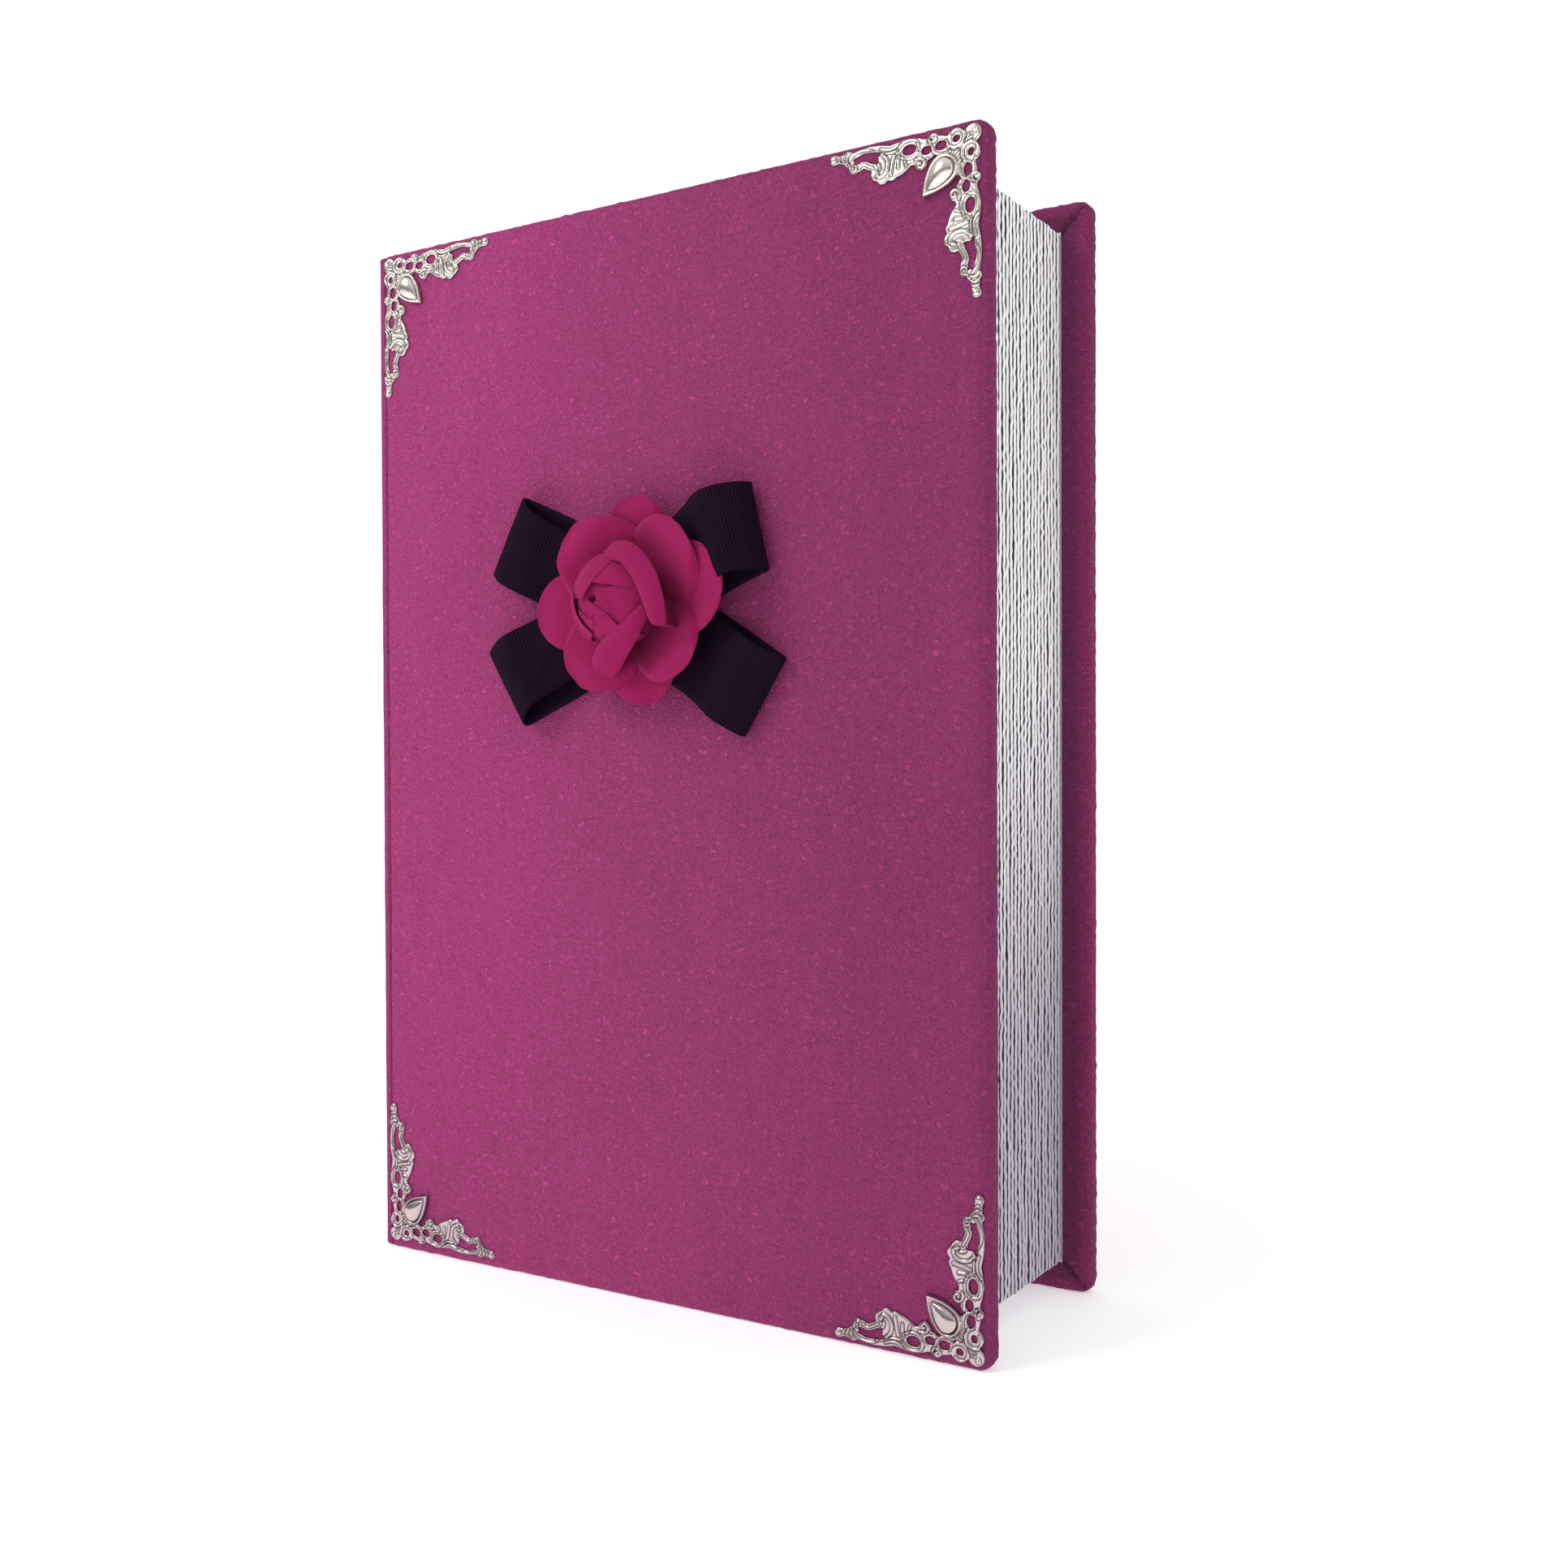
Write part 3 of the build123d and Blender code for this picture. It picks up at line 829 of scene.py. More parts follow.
def strip_of_cloth(start, end, level, bottom, top):
    """The guard: a flat strip with a round bead at its root, carried up from bottom to top."""
    radius = 0.4
    half = 0.17
    turn = np.linspace(0.5, 2 * math.pi - 0.5, 9)
    bead = np.stack([start + radius + radius * np.cos(turn), radius * np.sin(turn)], axis=1)
    flat = np.array([(start + 1.0, -half), (end, -half), (end, half), (start + 1.0, half)])
    ring = np.vstack([bead, flat])
    heights = np.array([bottom, bottom, top, top], dtype=float)
    points = np.empty((4, len(ring), 3))
    points[..., 0] = ring[:, 0]
    points[..., 1] = ring[:, 1] + level
    points[..., 2] = heights[:, None]
    middle = (start + end) / 2
    points[0, :, :2] = (middle, level)
    points[-1, :, :2] = (middle, level)
    return points


for number in leaf_boxes:
    make_leaf(number)
print("leaves:", len(leaf_boxes))

# %% [markdown]
# ## Stamped silver corners
# Each corner is thin plate, pierced and stamped with scrolls, a leaf and a drop-shaped boss. It is
# the same on both sides of its diagonal, so it is drawn once for one leg. The drawing is a
# distance field: each scroll, ring and lobe says how far inside it a point is, the holes are taken
# away, and the height of the relief comes from the same distances. The field is sampled on a fine
# grid, and points at the border move onto it, so the cut edges are smooth.

# %% Distance words
def disc(along, inward, place, radius):
    """How far inside a disc each point is; negative outside."""
    return radius - np.hypot(along - place[0], inward - place[1])


def oval(along, inward, place, radii, turn=0.0):
    """The same for an ellipse, close to its border; turn is in degrees."""
    cos, sin = math.cos(math.radians(turn)), math.sin(math.radians(turn))
    x = (along - place[0]) * cos + (inward - place[1]) * sin
    y = (inward - place[1]) * cos - (along - place[0]) * sin
    radius = np.hypot(x / radii[0], y / radii[1])
    slope = np.hypot(x / radii[0] ** 2, y / radii[1] ** 2) / np.maximum(radius, 1e-6)
    return (1 - radius) / np.maximum(slope, 1e-6)


def stroke(along, inward, corners, width):
    """How far inside a band along a rounded line each point is."""
    line = smooth_path(corners, 0.5)
    nearest = np.full(along.shape, 1e9)
    for start, end in zip(line[:-1], line[1:]):
        run = end - start
        share = ((along - start[0]) * run[0] + (inward - start[1]) * run[1]) / (run @ run)
        share = np.clip(share, 0, 1)
        nearest = np.minimum(nearest, np.hypot(
            along - start[0] - share * run[0], inward - start[1] - share * run[1]))
    return width / 2 - nearest


boss_middle = 14.3


def drop(along, inward, grow):
    """The boss's outline, lying on the diagonal: a round end, and round flanks down to a tip."""
    down = (along + inward) / math.sqrt(2) - boss_middle
    side = np.abs(along - inward) / math.sqrt(2)
    radius, reach = 3.0 + grow, 6.3 + 2.2 * grow
    share = np.clip(down / reach, 0, 1.3)
    slope = 1.8 * radius / reach * share ** 0.8
    flank = (radius * (1 - share ** 1.8) - side) / np.sqrt(1 + slope ** 2)
    return np.where(down > 0, flank, radius - np.hypot(down, side))


def drop_dome(along, inward):
    """Height of the boss from 0 to 1: round across, and lower as it narrows to its point."""
    down = (along + inward) / math.sqrt(2) - boss_middle
    side = np.abs(along - inward) / math.sqrt(2)
    widest = 3.2
    half = widest * (1 - np.clip(down / 6.9, 0, 1) ** 1.8)
    square = half ** 2 - side ** 2 - np.minimum(down, 0) ** 2
    return np.sqrt(np.clip(square, 0, None)) / widest


# %% Relief of a stamped corner
def soft_or(first, second, blend=0.35):
    """Union of two shapes with a small fillet between them."""
    share = np.clip(0.5 + 0.5 * (first - second) / blend, 0, 1)
    return second + (first - second) * share + blend * share * (1 - share)


# Each scroll is a rounded line, its width and how far it stands up. Places are (along the leg,
# inward from the edge), from the plate's corner.
scroll_lines = [
    ([(9.8, 2.9), (8.9, 4.4), (7.2, 5.1), (5.3, 4.6), (4.4, 2.9), (4.9, 1.2), (6.4, 0.6), (7.8, 1.2)],
     0.85, 0.45),
    ([(13.0, 1.5), (13.7, 1.2), (13.2, 0.6), (12.3, 1.1), (12.6, 2.2), (13.8, 2.4), (14.6, 1.4)], 0.6, 0.4),
    ([(14.4, 1.9), (13.7, 3.6), (12.7, 5.3), (10.6, 6.0), (8.4, 5.7)], 0.75, 0.4),
    ([(17.3, 3.1), (17.8, 1.3), (19.8, 0.7), (22.0, 1.1), (23.2, 2.4)], 0.65, 0.35),
    ([(17.5, 4.2), (18.8, 5.2), (20.8, 5.3), (22.9, 4.4)], 0.6, 0.3),
    ([(16.8, 7.2), (17.5, 6.9), (17.4, 8.0), (16.3, 8.2), (15.7, 7.0), (16.7, 5.9), (18.3, 6.0)], 0.6, 0.4),
    ([(31.4, 1.7), (28.7, 2.2), (26.8, 3.9), (26.3, 6.0), (27.2, 8.0), (28.9, 8.5), (29.5, 7.2)], 0.9, 0.35),
    ([(24.4, 3.8), (24.9, 5.8), (25.4, 8.4)], 0.9, 0.35), ([(22.9, 3.9), (23.2, 5.4), (23.2, 7.0)], 0.8, 0.3),
    ([(21.3, 5.6), (21.2, 6.2), (20.9, 7.0)], 0.6, 0.25), ([(29.8, 4.6), (28.8, 5.4), (28.6, 6.6)], 0.7, 0.3),
    ([(28.2, 1.3), (26.0, 1.9), (24.0, 1.6), (22.5, 0.7)], 0.6, 0.35),
    ([(27.0, 2.7), (24.8, 2.8), (23.4, 2.5)], 0.5, 0.25),
    ([(30.0, 2.0), (31.4, 0.9), (33.5, 0.6), (36.0, 1.1), (37.6, 2.4)], 0.55, 0.3),
    ([(30.4, 5.8), (31.8, 5.0), (33.5, 4.3), (34.8, 4.8)], 0.6, 0.3),
    ([(36.5, 4.7), (36.9, 4.2), (36.1, 3.9), (35.5, 4.8), (36.2, 5.5), (37.3, 4.9), (37.8, 3.4)], 0.5, 0.35),
    ([(37.2, 0.3), (38.4, 1.4), (38.1, 3.0)], 0.55, 0.35),
    ([(38.9, 0.4), (39.8, 1.5), (39.3, 2.8)], 0.5, 0.35),
    ([(40.3, 0.5), (40.9, 1.4), (40.5, 2.6)], 0.45, 0.3), ([(6.3, 5.7), (7.3, 6.7)], 0.5, 0.3),
    ([(3.2, 2.4), (4.2, 4.2)], 0.5, 0.3), ([(13.4, 6.9), (15.0, 6.3)], 0.5, 0.25),
]


def corner_relief(along, inward):
    """(distance inside the metal, height above the cloth, painted shade) of points, millimetres."""
    a, b = along, inward
    holes = [oval(a, b, (6.8, 2.75), (0.95, 0.8)), oval(a, b, (11.1, 3.65), (1.6, 1.15)),
             oval(a, b, (15.2, 4.1), (1.45, 1.05)), oval(a, b, (20.1, 3.0), (1.95, 1.3))]
    crescent = np.minimum(oval(a, b, (32.8, 3.9), (3.6, 2.55)), -oval(a, b, (33.6, 6.0), (4.3, 2.75)))
    pierced = np.maximum.reduce(holes + [crescent])
    solid = disc(a, b, (1.95, 1.95), 1.8)
    shapes = [
        disc(a, b, (6.8, 2.75), 2.65), disc(a, b, (11.1, 3.9), 2.65), disc(a, b, (13.2, 1.45), 1.4),
        disc(a, b, (15.2, 4.3), 2.4), oval(a, b, (20.1, 3.0), (3.2, 2.8)), disc(a, b, (16.8, 7.1), 1.75),
        stroke(a, b, [(2.2, 2.2), (8.0, 8.0)], 4.6), drop(a, b, 1.05),
        stroke(a, b, [(8.8, 2.5), (11.0, 2.0), (13.2, 1.5), (15.5, 1.9), (18.0, 1.2), (21.0, 0.9),
                      (25.0, 1.5)], 1.6),
        oval(a, b, (24.8, 5.3), (5.6, 4.1), 8), disc(a, b, (25.4, 8.4), 1.55), disc(a, b, (28.0, 8.7), 1.7),
        disc(a, b, (29.6, 7.4), 1.8), disc(a, b, (21.0, 5.9), 1.7), disc(a, b, (18.9, 5.6), 1.6),
        disc(a, b, (23.1, 6.9), 1.5),
        stroke(a, b, [(23.5, 2.2), (28.0, 1.1), (32.0, 0.75), (35.5, 1.1), (38.0, 1.9)], 1.7),
        stroke(a, b, [(29.5, 6.2), (31.5, 5.1), (33.6, 4.3), (35.0, 4.8), (36.4, 4.9)], 1.9),
        disc(a, b, (36.5, 4.6), 1.5), stroke(a, b, [(36.6, 4.0), (38.2, 2.6), (39.6, 1.7)], 2.4),
        disc(a, b, (38.0, 1.2), 1.35), stroke(a, b, [(38.5, 1.6), (40.5, 1.6), (42.3, 1.4)], 2.2),
        disc(a, b, (42.4, 1.35), 1.35),
    ]
    for shape in shapes:
        solid = soft_or(solid, shape)
    inside = np.minimum(solid, -pierced)
    rounded = np.sqrt(np.clip(1 - (1 - np.clip(inside / 0.6, 0, 1)) ** 2, 0, 1))
    height = 0.30 + 0.40 * rounded
    # Painted shade: dark at the cut edges, in the grooves beside the scrolls, round the beads and round the
    # boss.
    relief_shade = 0.5 * (1 - smoothstep(inside, 0.0, 0.28))
    on_boss = smoothstep(drop(a, b, 1.05), -0.15, 0.15)
    for corners, width, lift in scroll_lines:
        near = stroke(a, b, corners, width)
        bead = np.sqrt(np.clip(1 - (1 - np.clip(near * 2 / width, 0, 1)) ** 2, 0, 1))
        groove = np.exp(-((near + 0.14) / 0.15) ** 2) * (1 - on_boss)
        height += (0.8 * lift * bead * (1 - on_boss) - 0.16 * groove) * rounded
        relief_shade = np.maximum(relief_shade, groove * rounded)
    beads = [((1.5, 1.5), 0.85, 0.85), ((42.4, 1.35), 0.85, 0.35), ((29.5, 7.4), 0.9, 0.3),
             ((36.5, 4.7), 0.45, 0.2)]
    for place, radius, lift in beads:
        near = disc(a, b, place, radius)
        height += lift * np.sqrt(np.clip(near / radius, 0, 1))
        relief_shade = np.maximum(relief_shade, 0.8 * np.exp(-((near + 0.12) / 0.14) ** 2))
    outer = drop(a, b, 1.05)
    inner = drop(a, b, 0.0)
    height += 0.85 * smoothstep(outer, 0.0, 0.35) - 0.75 * smoothstep(outer, 0.62, 0.95)
    height += 1.9 * drop_dome(a, b) * smoothstep(inner, 0.0, 0.3)
    relief_shade = np.maximum(relief_shade, 0.95 * np.exp(-((inner + 0.06) / 0.2) ** 2))
    relief_shade = np.maximum(relief_shade, 0.7 * np.exp(-((outer + 0.16) / 0.16) ** 2) * (inside > 0.3))
    return inside, np.maximum(height, 0.22), relief_shade


# %% Plates from the relief
def plate_points(step=0.155, size=44.4, margin=0.6):
    """Relief plate: top points, bottom points and the faces of both, with walls between them.

    Cells whose centre is metal are kept. Their points outside the metal move along the slope of
    the field onto its border, and every border edge gets a wall down to the cloth.
    """
    count = int(size / step) + 1
    axis = np.linspace(-margin, size - margin, count)
    x, z = np.meshgrid(axis, axis, indexing="ij")
    inside = corner_relief(np.maximum(x, z), np.minimum(x, z))[0]
    slope_x, slope_z = np.gradient(inside, axis, axis)
    steep = np.maximum(np.hypot(slope_x, slope_z), 0.35)
    centre = (inside[:-1, :-1] + inside[1:, :-1] + inside[:-1, 1:] + inside[1:, 1:]) / 4
    kept = centre > 0
    row, column = np.nonzero(kept)
    corners = np.stack([row * count + column, (row + 1) * count + column,
                        (row + 1) * count + column + 1, row * count + column + 1], axis=1)
    edges = np.concatenate([corners[:, [side, (side + 1) % 4]] for side in range(4)])
    key = np.sort(edges, axis=1) @ np.array([count * count, 1])
    _, first, uses = np.unique(key, return_index=True, return_counts=True)
    border = edges[first[uses == 1]]
    move = np.zeros(count * count, dtype=bool)
    move[border.ravel()] = True
    move = move.reshape(count, count) | (inside < 0)
    pull = np.where(move, np.clip(inside / steep, -step * 0.75, step * 0.75), 0.0)
    x = x - pull * slope_x / steep
    z = z - pull * slope_z / steep
    _, height, relief_shade = corner_relief(np.maximum(x, z), np.minimum(x, z))
    used, renamed = np.unique(corners, return_inverse=True)
    corners = renamed.reshape(corners.shape)
    border = np.searchsorted(used, border)
    flat = np.stack([x.ravel()[used], z.ravel()[used]], axis=1)
    top = np.column_stack([flat, height.ravel()[used]])
    under = np.column_stack([flat, np.full(len(used), 0.02)])
    total = len(used)
    walls = np.stack([border[:, 1], border[:, 0], border[:, 0] + total, border[:, 1] + total], axis=1)
    faces = np.vstack([corners, corners[:, ::-1] + total, walls])
    # Painted shade: the walls and the underside are fully dark.
    relief_shade = np.concatenate([relief_shade.ravel()[used], np.ones(total)])
    return np.vstack([top, under]), faces, relief_shade


silver = Finish("stamped_silver")
hollow_shade = silver.attribute("hollow_shade")
smudge_and_shade = silver.noise(silver.stretch(700, 700, 700), 1.0, 3.0, 0.6)
hammer = silver.noise(silver.stretch(380, 380, 380), 1.0, 2.0, 0.5)
# Painted light: the corners higher up are lighter and creamier, the lower ones darker and pinker.
painted_light_metal = silver.mix(silver.axis(2).ramp(0.03, 0.26), srgb(206, 190, 192), srgb(238, 230, 222))
# Painted shade: the hollow mark darkens grooves, cut edges and walls; the noise varies how much, and the
# roughness.
metal_colour = silver.mix((hollow_shade * (0.8 + smudge_and_shade * 0.4)).clamp(), painted_light_metal, srgb(44, 34, 38))
stamped_silver = silver.surface(
    {"Base Color": metal_colour, "Roughness": 0.13 + smudge_and_shade * 0.12 + hollow_shade * 0.3,
     "Normal": silver.bump(hammer, 0.00022, 0.4)},
    {"Metallic": 1.0})


def make_corner(node, plate, faces, relief_shade, side, top_edge, tip):
    """One corner: the plate's legs run from its tip along X and Z, turned to suit side and edge."""
    points = np.empty((len(plate), 3))
    points[:, 0] = tip[0] - side * plate[:, 0]
    points[:, 2] = tip[1] - (1 if top_edge else -1) * plate[:, 1]
    points[:, 1] = front_face - plate[:, 2] + 0.12
    if side * (1 if top_edge else -1) < 0:
        faces = faces[:, ::-1]
    piece = make_piece(f"{node}_plate", points, faces, stamped_silver, "front_cover",
                       {"hollow_shade": relief_shade}, merge=1e-6)
    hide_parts(node)


plate, plate_faces, plate_relief_shade = plate_points()
tip_inset = 0.2
for node, side, top_edge in (
    ("corner_top_left", -1, True), ("corner_top_right", 1, True),
    ("corner_bottom_left", -1, False), ("corner_bottom_right", 1, False),
):
    box = box_mm(node)
    tip_x = (box[1, 0] - tip_inset) if side > 0 else (box[0, 0] + tip_inset)
    tip_z = (box[1, 2] - tip_inset) if top_edge else (box[0, 2] + tip_inset)
    make_corner(node, plate, plate_faces, plate_relief_shade, side, top_edge, (tip_x, tip_z))
print("corner plate faces:", len(plate_faces))

# %% [markdown]
# ## Ribbon bow
# Two lengths of grosgrain ribbon are crossed under the rose. Each is one strip: it runs out along
# the cover, folds, swells back over itself to the middle, and does the same on the other side.
# Grosgrain has round ribs across its width, so the strip is cut finely along its length and each
# rib is a real wave. The cloth is gathered in the middle, where the rose hides the knot.

# %% Grosgrain finish
ribbon_finish = Finish("grosgrain")
rib_shade = ribbon_finish.attribute("rib")
thread = ribbon_finish.noise(ribbon_finish.stretch(2200, 2200, 2200), 1.0, 3.0, 0.6)
cloud = ribbon_finish.noise(ribbon_finish.stretch(60, 60, 60), 1.0, 2.0, 0.5)
# Painted shade: the ribbon is near black in the troughs between its ribs and lighter on their crests.
ribbon_colour = ribbon_finish.mix(rib_shade * 0.85 + thread * 0.15, srgb(1, 0, 2), srgb(39, 18, 44))
ribbon_colour = ribbon_finish.mix(cloud * 0.35, ribbon_colour, srgb(14, 6, 19))
grosgrain = ribbon_finish.surface(
    {"Base Color": ribbon_colour, "Normal": ribbon_finish.bump(thread, 0.0001, 0.5)},
    {"Roughness": 0.7, "Specular IOR Level": 0.1, "Specular Tint": (0.85, 0.6, 0.95, 1)})

# %% Ribbon strips
bow_x = -2.6
bow_z = 199.2
ribbon_half = 12.4
gathered_half = 3.2
rib_pitch = 0.92
steps_per_rib = 7


def loop_side(reach, height, low):
    """Side view of a loop, as (distance from the middle, height above the cover)."""
    return [(0.0, low), (9.0, low), (reach * 0.55, low + 0.1), (reach - 4.0, low + 0.2),
            (reach - 0.5, low + 0.9), (reach - 0.3, low + 2.6), (reach - 2.6, low + height * 0.62),
            (reach - 9.5, height), (reach * 0.60, height * 0.55), (18.0, height * 0.14 + 2.1),
            (9.0, 3.1), (0.0, 2.9)]


def lay_loop(loop, low, step):
    """Grid of one loop: the side view carried across the ribbon's gathered width.

    The side view runs along the loop's axis, which may bend in the plane of the cover. The upper
    layer's edges can be pulled in or pushed out, so that the inside of the loop shows.
    """
    angle, bend, reach, height, peek_left, peek_right, bulge_left, bulge_right = loop
    side = smooth_path(loop_side(reach, height, low), step)
    distance, above = side[:, 0], side[:, 1]
    length = np.concatenate([[0], np.cumsum(np.hypot(np.diff(distance), np.diff(above)))])
    upper = smoothstep(length, length[-1] * 0.47, length[-1] * 0.56)
    share = distance / reach
    heading = math.radians(angle) + math.radians(bend) * share ** 2
    centre = np.stack([distance * np.cos(heading), distance * np.sin(heading)], axis=1)
    turned = heading + math.radians(bend) * 2 * share ** 2
    across = np.stack([-np.sin(turned), np.cos(turned)], axis=1)
    spread = np.clip(smoothstep(distance, 1.0, 27.0) * 1.06, 0, 1)
    half = gathered_half + (ribbon_half - gathered_half) * spread
    hump = np.sin(np.pi * np.clip(share, 0, 1)) ** 1.2
    width = np.linspace(-1, 1, 17)[None, :]
    left = half - upper * hump * peek_left + (1 - upper) * hump * bulge_left
    right = half - upper * hump * peek_right + (1 - upper) * hump * bulge_right
    offset = np.where(width > 0, width * left[:, None], width * right[:, None])
    points = np.empty((len(side), 17, 3))
    points[..., 0] = centre[:, None, 0] + across[:, None, 0] * offset
    points[..., 1] = centre[:, None, 1] + across[:, None, 1] * offset
    sag = 0.9 * upper[:, None] * hump[:, None] * width ** 2
    pleat = 0.55 * np.cos(width * 7.5) * (1 - smoothstep(distance, 6.0, 20.0))[:, None]
    points[..., 2] = above[:, None] - sag + pleat * upper[:, None]
    return points, length


def make_ribbon(name, loops, low, lift):
    """A ribbon: two loops joined in the middle of the bow, then ribbed.

    The second loop is read backwards, so that the strip runs out, back, out and back. Its half
    thickness is a constant plus a cosine along its length, which gives the ribs.
    """
    first, first_length = lay_loop(loops[0], low, rib_pitch / steps_per_rib)
    second, second_length = lay_loop(loops[1], low, rib_pitch / steps_per_rib)
    sheet = np.concatenate([first, second[::-1][1:]])
    back_length = second_length[-1] - second_length[::-1][1:]
    length = np.concatenate([first_length, first_length[-1] + back_length])
    sheet[..., 2] += lift
    along = np.gradient(sheet, axis=0)
    across = np.gradient(sheet, axis=1)
    normal = np.cross(along, across)
    normal /= np.maximum(np.linalg.norm(normal, axis=2, keepdims=True), 1e-9)
    wave = np.cos(2 * np.pi * length / rib_pitch)
    wobble = 1 + 0.25 * ripple(sheet, 6.0, 61)
    rib = wave[:, None] * wobble
    rib[:, [0, -1]] *= 0.3
    half = 0.22 + 0.11 * rib
    raised = normal * half[..., None]
    layers = np.concatenate([sheet + raised, (sheet - raised)[:, ::-1]], axis=1)
    # The rib mark is painted shade for the finish: high on a rib's crest, low in its trough.
    marks = np.concatenate([0.5 + 0.5 * rib, (0.5 + 0.5 * rib)[:, ::-1]], axis=1)
    ends = np.repeat(layers[[0, -1]].mean(axis=1, keepdims=True), layers.shape[1], axis=1)
    layers = np.concatenate([ends[:1], layers, ends[1:]])
    marks = np.concatenate([marks[:1], marks, marks[-1:]])
    points = np.empty_like(layers)
    points[..., 0] = bow_x + layers[..., 0]
    points[..., 2] = bow_z + layers[..., 1]
    points[..., 1] = front_face - np.maximum(layers[..., 2], 0.02)
    piece = make_piece(name, points, grid_faces(*points.shape[:2], wrap_columns=True), grosgrain,
                       "front_cover", {"rib": np.clip(marks, 0, 1)}, merge=1e-6)
    return piece


# A loop is its angle and bend in degrees, its reach and height, how far its upper layer's left and
# right edges are pulled in, and how far its lower layer's are pushed out.
falling = make_ribbon("ribbon_falling_strip", [
    (152.3, 0.0, 51.8, 8.6, -0.4, 2.6, 0.0, 1.4),
    (-30.3, -0.8, 51.2, 7.6, 0.4, 0.2, 0.2, 0.0)], 0.35, 0.0)
rising = make_ribbon("ribbon_rising_strip", [
    (202.9, 3.0, 51.1, 8.8, 3.2, -0.3, 1.8, 0.0),
    (31.2, -6.0, 47.5, 12.2, -1.2, 2.0, 0.0, 0.4)], 0.9, 0.35)
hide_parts("ribbon_falling")
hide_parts("ribbon_rising")

# %% [markdown]
# ## Rose
# The rose is cut from a suede-like cloth. Four wide outer petals lie low, four cupped petals stand
# on them, two curled petals hug the bud, and the bud is wrapped in folds that overlap round a
# point. A petal is a fan: it widens from the stem to a round tip, rises like a cup, and rolls its
# rim outwards. Solidify gives the cloth its thickness and one subdivision rounds the cut edge.

# %% Petal finish
petal_finish = Finish("rose_petal")
nap = petal_finish.noise(petal_finish.stretch(1500, 1500, 1500), 1.0, 3.0, 0.6)
tint = petal_finish.noise(petal_finish.stretch(90, 90, 90), 1.0, 3.0, 0.5)
deep_shade = petal_finish.attribute("deep_shade")
petal_colour = petal_finish.mix(nap * 0.5 + tint * 0.5, srgb(138, 20, 76), srgb(168, 34, 98))
# Painted shade: petals darken towards their stems, down the curled petals' inner walls, in the bud's pit and
# below its rim.
petal_colour = petal_finish.mix(deep_shade * 0.75, petal_colour, srgb(96, 4, 38))
rose_petal = petal_finish.surface(
    {"Base Color": petal_colour, "Normal": petal_finish.bump(nap, 0.00018, 0.5)},
    {"Roughness": 0.9, "Specular IOR Level": 0.12, "Sheen Weight": 0.12, "Sheen Roughness": 0.5,
     "Sheen Tint": (1.0, 0.45, 0.7, 1)})

felt_finish = Finish("rose_felt")
wool = felt_finish.noise(felt_finish.stretch(1300, 1300, 1300), 1.0, 4.0, 0.7, 1.5)
felt_colour = felt_finish.mix(wool, srgb(92, 14, 52), srgb(136, 32, 84))
rose_felt = felt_finish.surface(
    {"Base Color": felt_colour, "Normal": felt_finish.bump(wool, 0.0003, 0.7)},
    {"Roughness": 0.95, "Sheen Weight": 0.2, "Sheen Roughness": 0.6})
refinish("rose_backing", rose_felt)

# %% Petals
rose_x = 2.0
rose_z = 200.5


def place_on_rose(points):
    """From rose coordinates (right, up, height above the cover) to the book's own."""
    placed = np.empty_like(points)
    placed[..., 0] = rose_x + points[..., 0]
    placed[..., 2] = rose_z + points[..., 1]
    placed[..., 1] = front_face - points[..., 2]
    return placed


def thicken(piece, thickness):
    """Give a petal its thickness, centred on its surface, and round its cut edge."""
    solid = piece.modifiers.new("thickness", "SOLIDIFY")
    solid.thickness = thickness / 1000
    solid.offset = 0.0
    round_edge = piece.modifiers.new("round_edge", "SUBSURF")
    round_edge.levels = 1
    round_edge.render_levels = 1


def petal_points(direction, length, half_width, base, rise, power, cup, roll, seed):
    """A fan petal: u runs from the stem to the tip and v across.

    The half width grows from the stem and closes in a half circle, which is the lobe's tip. The
    height is base plus rise times u to a power, plus a cup across the width, less a rolled rim.
    """
    u = 1 - (1 - np.linspace(0, 1, 30)) ** 1.7
    v = np.sin(np.linspace(-1, 1, 33) * math.pi / 2)
    u, v = np.meshgrid(u, v, indexing="ij")
    widest = 1 - half_width / length
    before = 0.22 + 0.78 * smoothstep(u, -0.15, widest)
    past = np.clip((u - widest) / (1 - widest), 0, 1)
    after = np.sqrt(1 - past ** 2)
    half = half_width * np.where(u < widest, before, after)
    across = half * v
    side_rim = smoothstep(np.abs(v), 0.72, 1.0) * smoothstep(u, 0.3, 0.6)
    rim = np.maximum(smoothstep(u, 0.70, 1.0), side_rim)
    out = length * u
    height = base + rise * u ** power + cup * (across / half_width) ** 2 * u - roll * rim ** 2
    height += 0.35 * ripple(np.stack([out, across], axis=-1), 16.0, seed) * u
    heading = math.radians(direction)
    right = out * math.cos(heading) - across * math.sin(heading)
    up = out * math.sin(heading) + across * math.cos(heading)
    # Painted shade: the petal darkens towards its stem.
    deep_shade_mark = 1 - smoothstep(u, 0.15, 0.75)
    return np.stack([right, up, height], axis=-1), deep_shade_mark


def make_petal(name, node, area, *shape):
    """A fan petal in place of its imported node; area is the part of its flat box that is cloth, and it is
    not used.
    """
    points, deep_shade_mark = petal_points(*shape)
    piece = make_piece(name, place_on_rose(points), grid_faces(*points.shape[:2]), rose_petal,
                       "front_cover", {"deep_shade": deep_shade_mark}, merge=1e-5)
    thicken(piece, 0.7)
    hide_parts(node)
    length, half_width = shape[1], shape[2]
    2 * half_width / 1000
    length * 1.08 / 1000
    2 * half_width * length * 1.08 * area / 1e6


